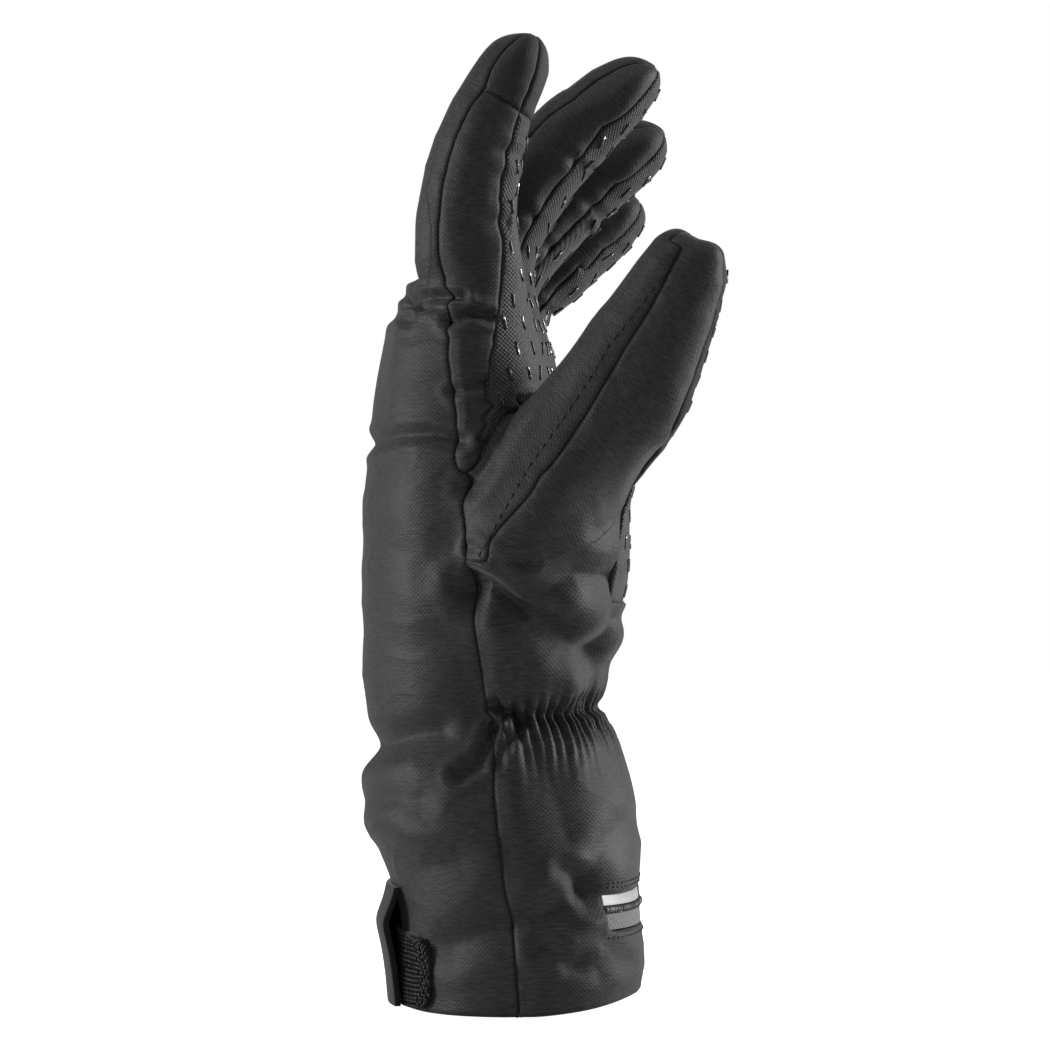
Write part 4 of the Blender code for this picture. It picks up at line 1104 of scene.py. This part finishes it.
def make_finishes():
    """All finishes by the names that the pieces use."""
    threads, wear = thread_group(), wear_group()

    def cloth(name, colour, **looks):
        return cloth_finish(name, colour, threads, wear, **looks)

    return {
        "softshell": cloth("softshell_weave", (0.025, 0.025, 0.0255), thread=1500.0, streak=0.22,
                           cross=0.4, bump=0.6, depth=0.00025, roughness=0.62, contrast=0.8,
                           sheen=0.16, sheen_roughness=0.35, specular=0.4, seams=True),
        "grip_knit": cloth("grip_knit", (0.024, 0.024, 0.0245), thread=1500.0, streak=0.8,
                           cross=1.0, bump=0.8, depth=0.00025, roughness=0.55, contrast=0.8,
                           seams=True),
        "thumb_knit": cloth("thumb_knit", (0.009, 0.009, 0.009), thread=1500.0, streak=0.8,
                            cross=1.0, bump=0.6, contrast=0.6, sheen=0.05, seams=True),
        "touch_cloth": cloth("touch_cloth", (0.020, 0.020, 0.0205), thread=1700.0, streak=0.5,
                             cross=0.9, bump=0.5, depth=0.0002, contrast=0.6, sheen=0.12,
                             seams=True),
        "zip_coated": cloth("zip_coated_tape", (0.55, 0.55, 0.56), thread=900.0, streak=0.1,
                            cross=0.2, bump=0.1, roughness=0.4, contrast=0.12, sheen=0.0,
                            specular=0.5),
        "zip_twill": cloth("zip_twill_tape", (0.18, 0.18, 0.183), thread=1100.0, streak=1.0,
                           cross=1.0, bump=0.6, contrast=0.45),
        "strap_webbing": cloth("strap_webbing", (0.006, 0.006, 0.006), thread=1100.0, streak=0.6,
                               cross=1.0, bump=0.6, contrast=0.4),
        "hook_tape": cloth("hook_tape_ground", (0.004, 0.004, 0.004), thread=900.0, streak=0.8,
                           cross=1.0, bump=0.5),
        "hook_bristle": moulded_finish("hook_bristle", (0.010, 0.010, 0.010), wear, 0.35,
                                       scale=400),
        "grip_rubber": painted_glint_finish("grip_rubber", wear),
        "thread": moulded_finish("sewing_thread", (0.010, 0.010, 0.010), wear, 0.5, scale=500),
        "zip_coil": moulded_finish("zip_coil_plastic", (0.10, 0.10, 0.103), wear, 0.4, scale=300),
        "slider_metal": moulded_finish("slider_satin_metal", (0.22, 0.22, 0.225), wear, 0.35,
                                       metallic=0.9, scale=200),
    }


# ---- stage ----


def pale_floor():
    """A floor that the camera sees as white, and that throws light back like paper."""
    form = bmesh.new()
    bmesh.ops.create_circle(form, cap_ends=True, segments=96, radius=FLOOR_RADIUS,
                            matrix=Matrix.Translation((0, 0, FLOOR_HEIGHT)))
    mesh = mesh_of(form, "floor")
    floor = bpy.data.objects.new("floor", mesh)
    bpy.context.scene.collection.objects.link(floor)
    material = bpy.data.materials.new("floor_paper")
    material.use_nodes = True
    tree = material.node_tree
    shader = tree.nodes["Principled BSDF"].inputs
    shader["Base Color"].default_value = (0.8, 0.8, 0.8, 1)
    shader["Roughness"].default_value = 0.9
    shader["Emission Color"].default_value = (1, 1, 1, 1)
    seen = add_node(tree, "LightPath", {}).outputs["Is Camera Ray"]
    feed(tree, shader["Emission Strength"], seen)
    mesh.materials.append(material)


def soft_box(name, place, size, energy):
    """One area light that faces the glove."""
    light = bpy.data.lights.new(name, "AREA")
    light.shape = "RECTANGLE"
    light.size, light.size_y = size
    light.energy = energy
    lamp = bpy.data.objects.new(name, light)
    lamp.location = place
    way = Vector(place) - Vector(LIGHT_TARGET)
    lamp.rotation_euler = way.to_track_quat("Z", "Y").to_euler()
    bpy.context.scene.collection.objects.link(lamp)


def studio():
    """White surroundings, dimmer as light than as seen, and the area lights."""
    world = bpy.data.worlds.new("studio")
    bpy.context.scene.world = world
    bpy.context.scene.view_settings.view_transform = "Standard"
    world.use_nodes = True
    tree = world.node_tree
    dim = tree.nodes["Background"]
    dim.inputs["Color"].default_value = (1, 1, 1, 1)
    dim.inputs["Strength"].default_value = WORLD_LIGHT
    bright = add_node(tree, "Background", {"Color": (1, 1, 1, 1), "Strength": WORLD_SEEN})
    seen = add_node(tree, "LightPath", {}).outputs["Is Camera Ray"]
    mix = add_node(tree, "MixShader", {"Fac": seen, 1: dim.outputs[0], 2: bright.outputs[0]})
    feed(tree, tree.nodes["World Output"].inputs["Surface"], mix.outputs[0])
    for light in LIGHTS:
        soft_box(*light)


def photo_camera():
    """The photo's camera, level and square to the glove's middle plane."""
    camera = bpy.data.objects.new("photo_camera", bpy.data.cameras.new("photo_camera"))
    camera.location = CAMERA_TARGET - Vector((0.0, CAMERA_DISTANCE, 0.0))
    camera.rotation_euler = (math.radians(90), 0.0, 0.0)
    camera.data.lens = camera.data.sensor_width * CAMERA_DISTANCE / FRAME_WIDTH
    camera.data.clip_start = 0.01
    bpy.context.scene.collection.objects.link(camera)
    bpy.context.scene.camera = camera


photo_camera()
finishes = make_finishes()
skins = dress_panels(finishes)
add_topstitching(skins, finishes)
add_grip_dashes(skins, finishes)
add_zip_stitching(skins, finishes)
dress_zip(finishes)
dress_strap(finishes)
dress_hook_patch(finishes)
pale_floor()
studio()
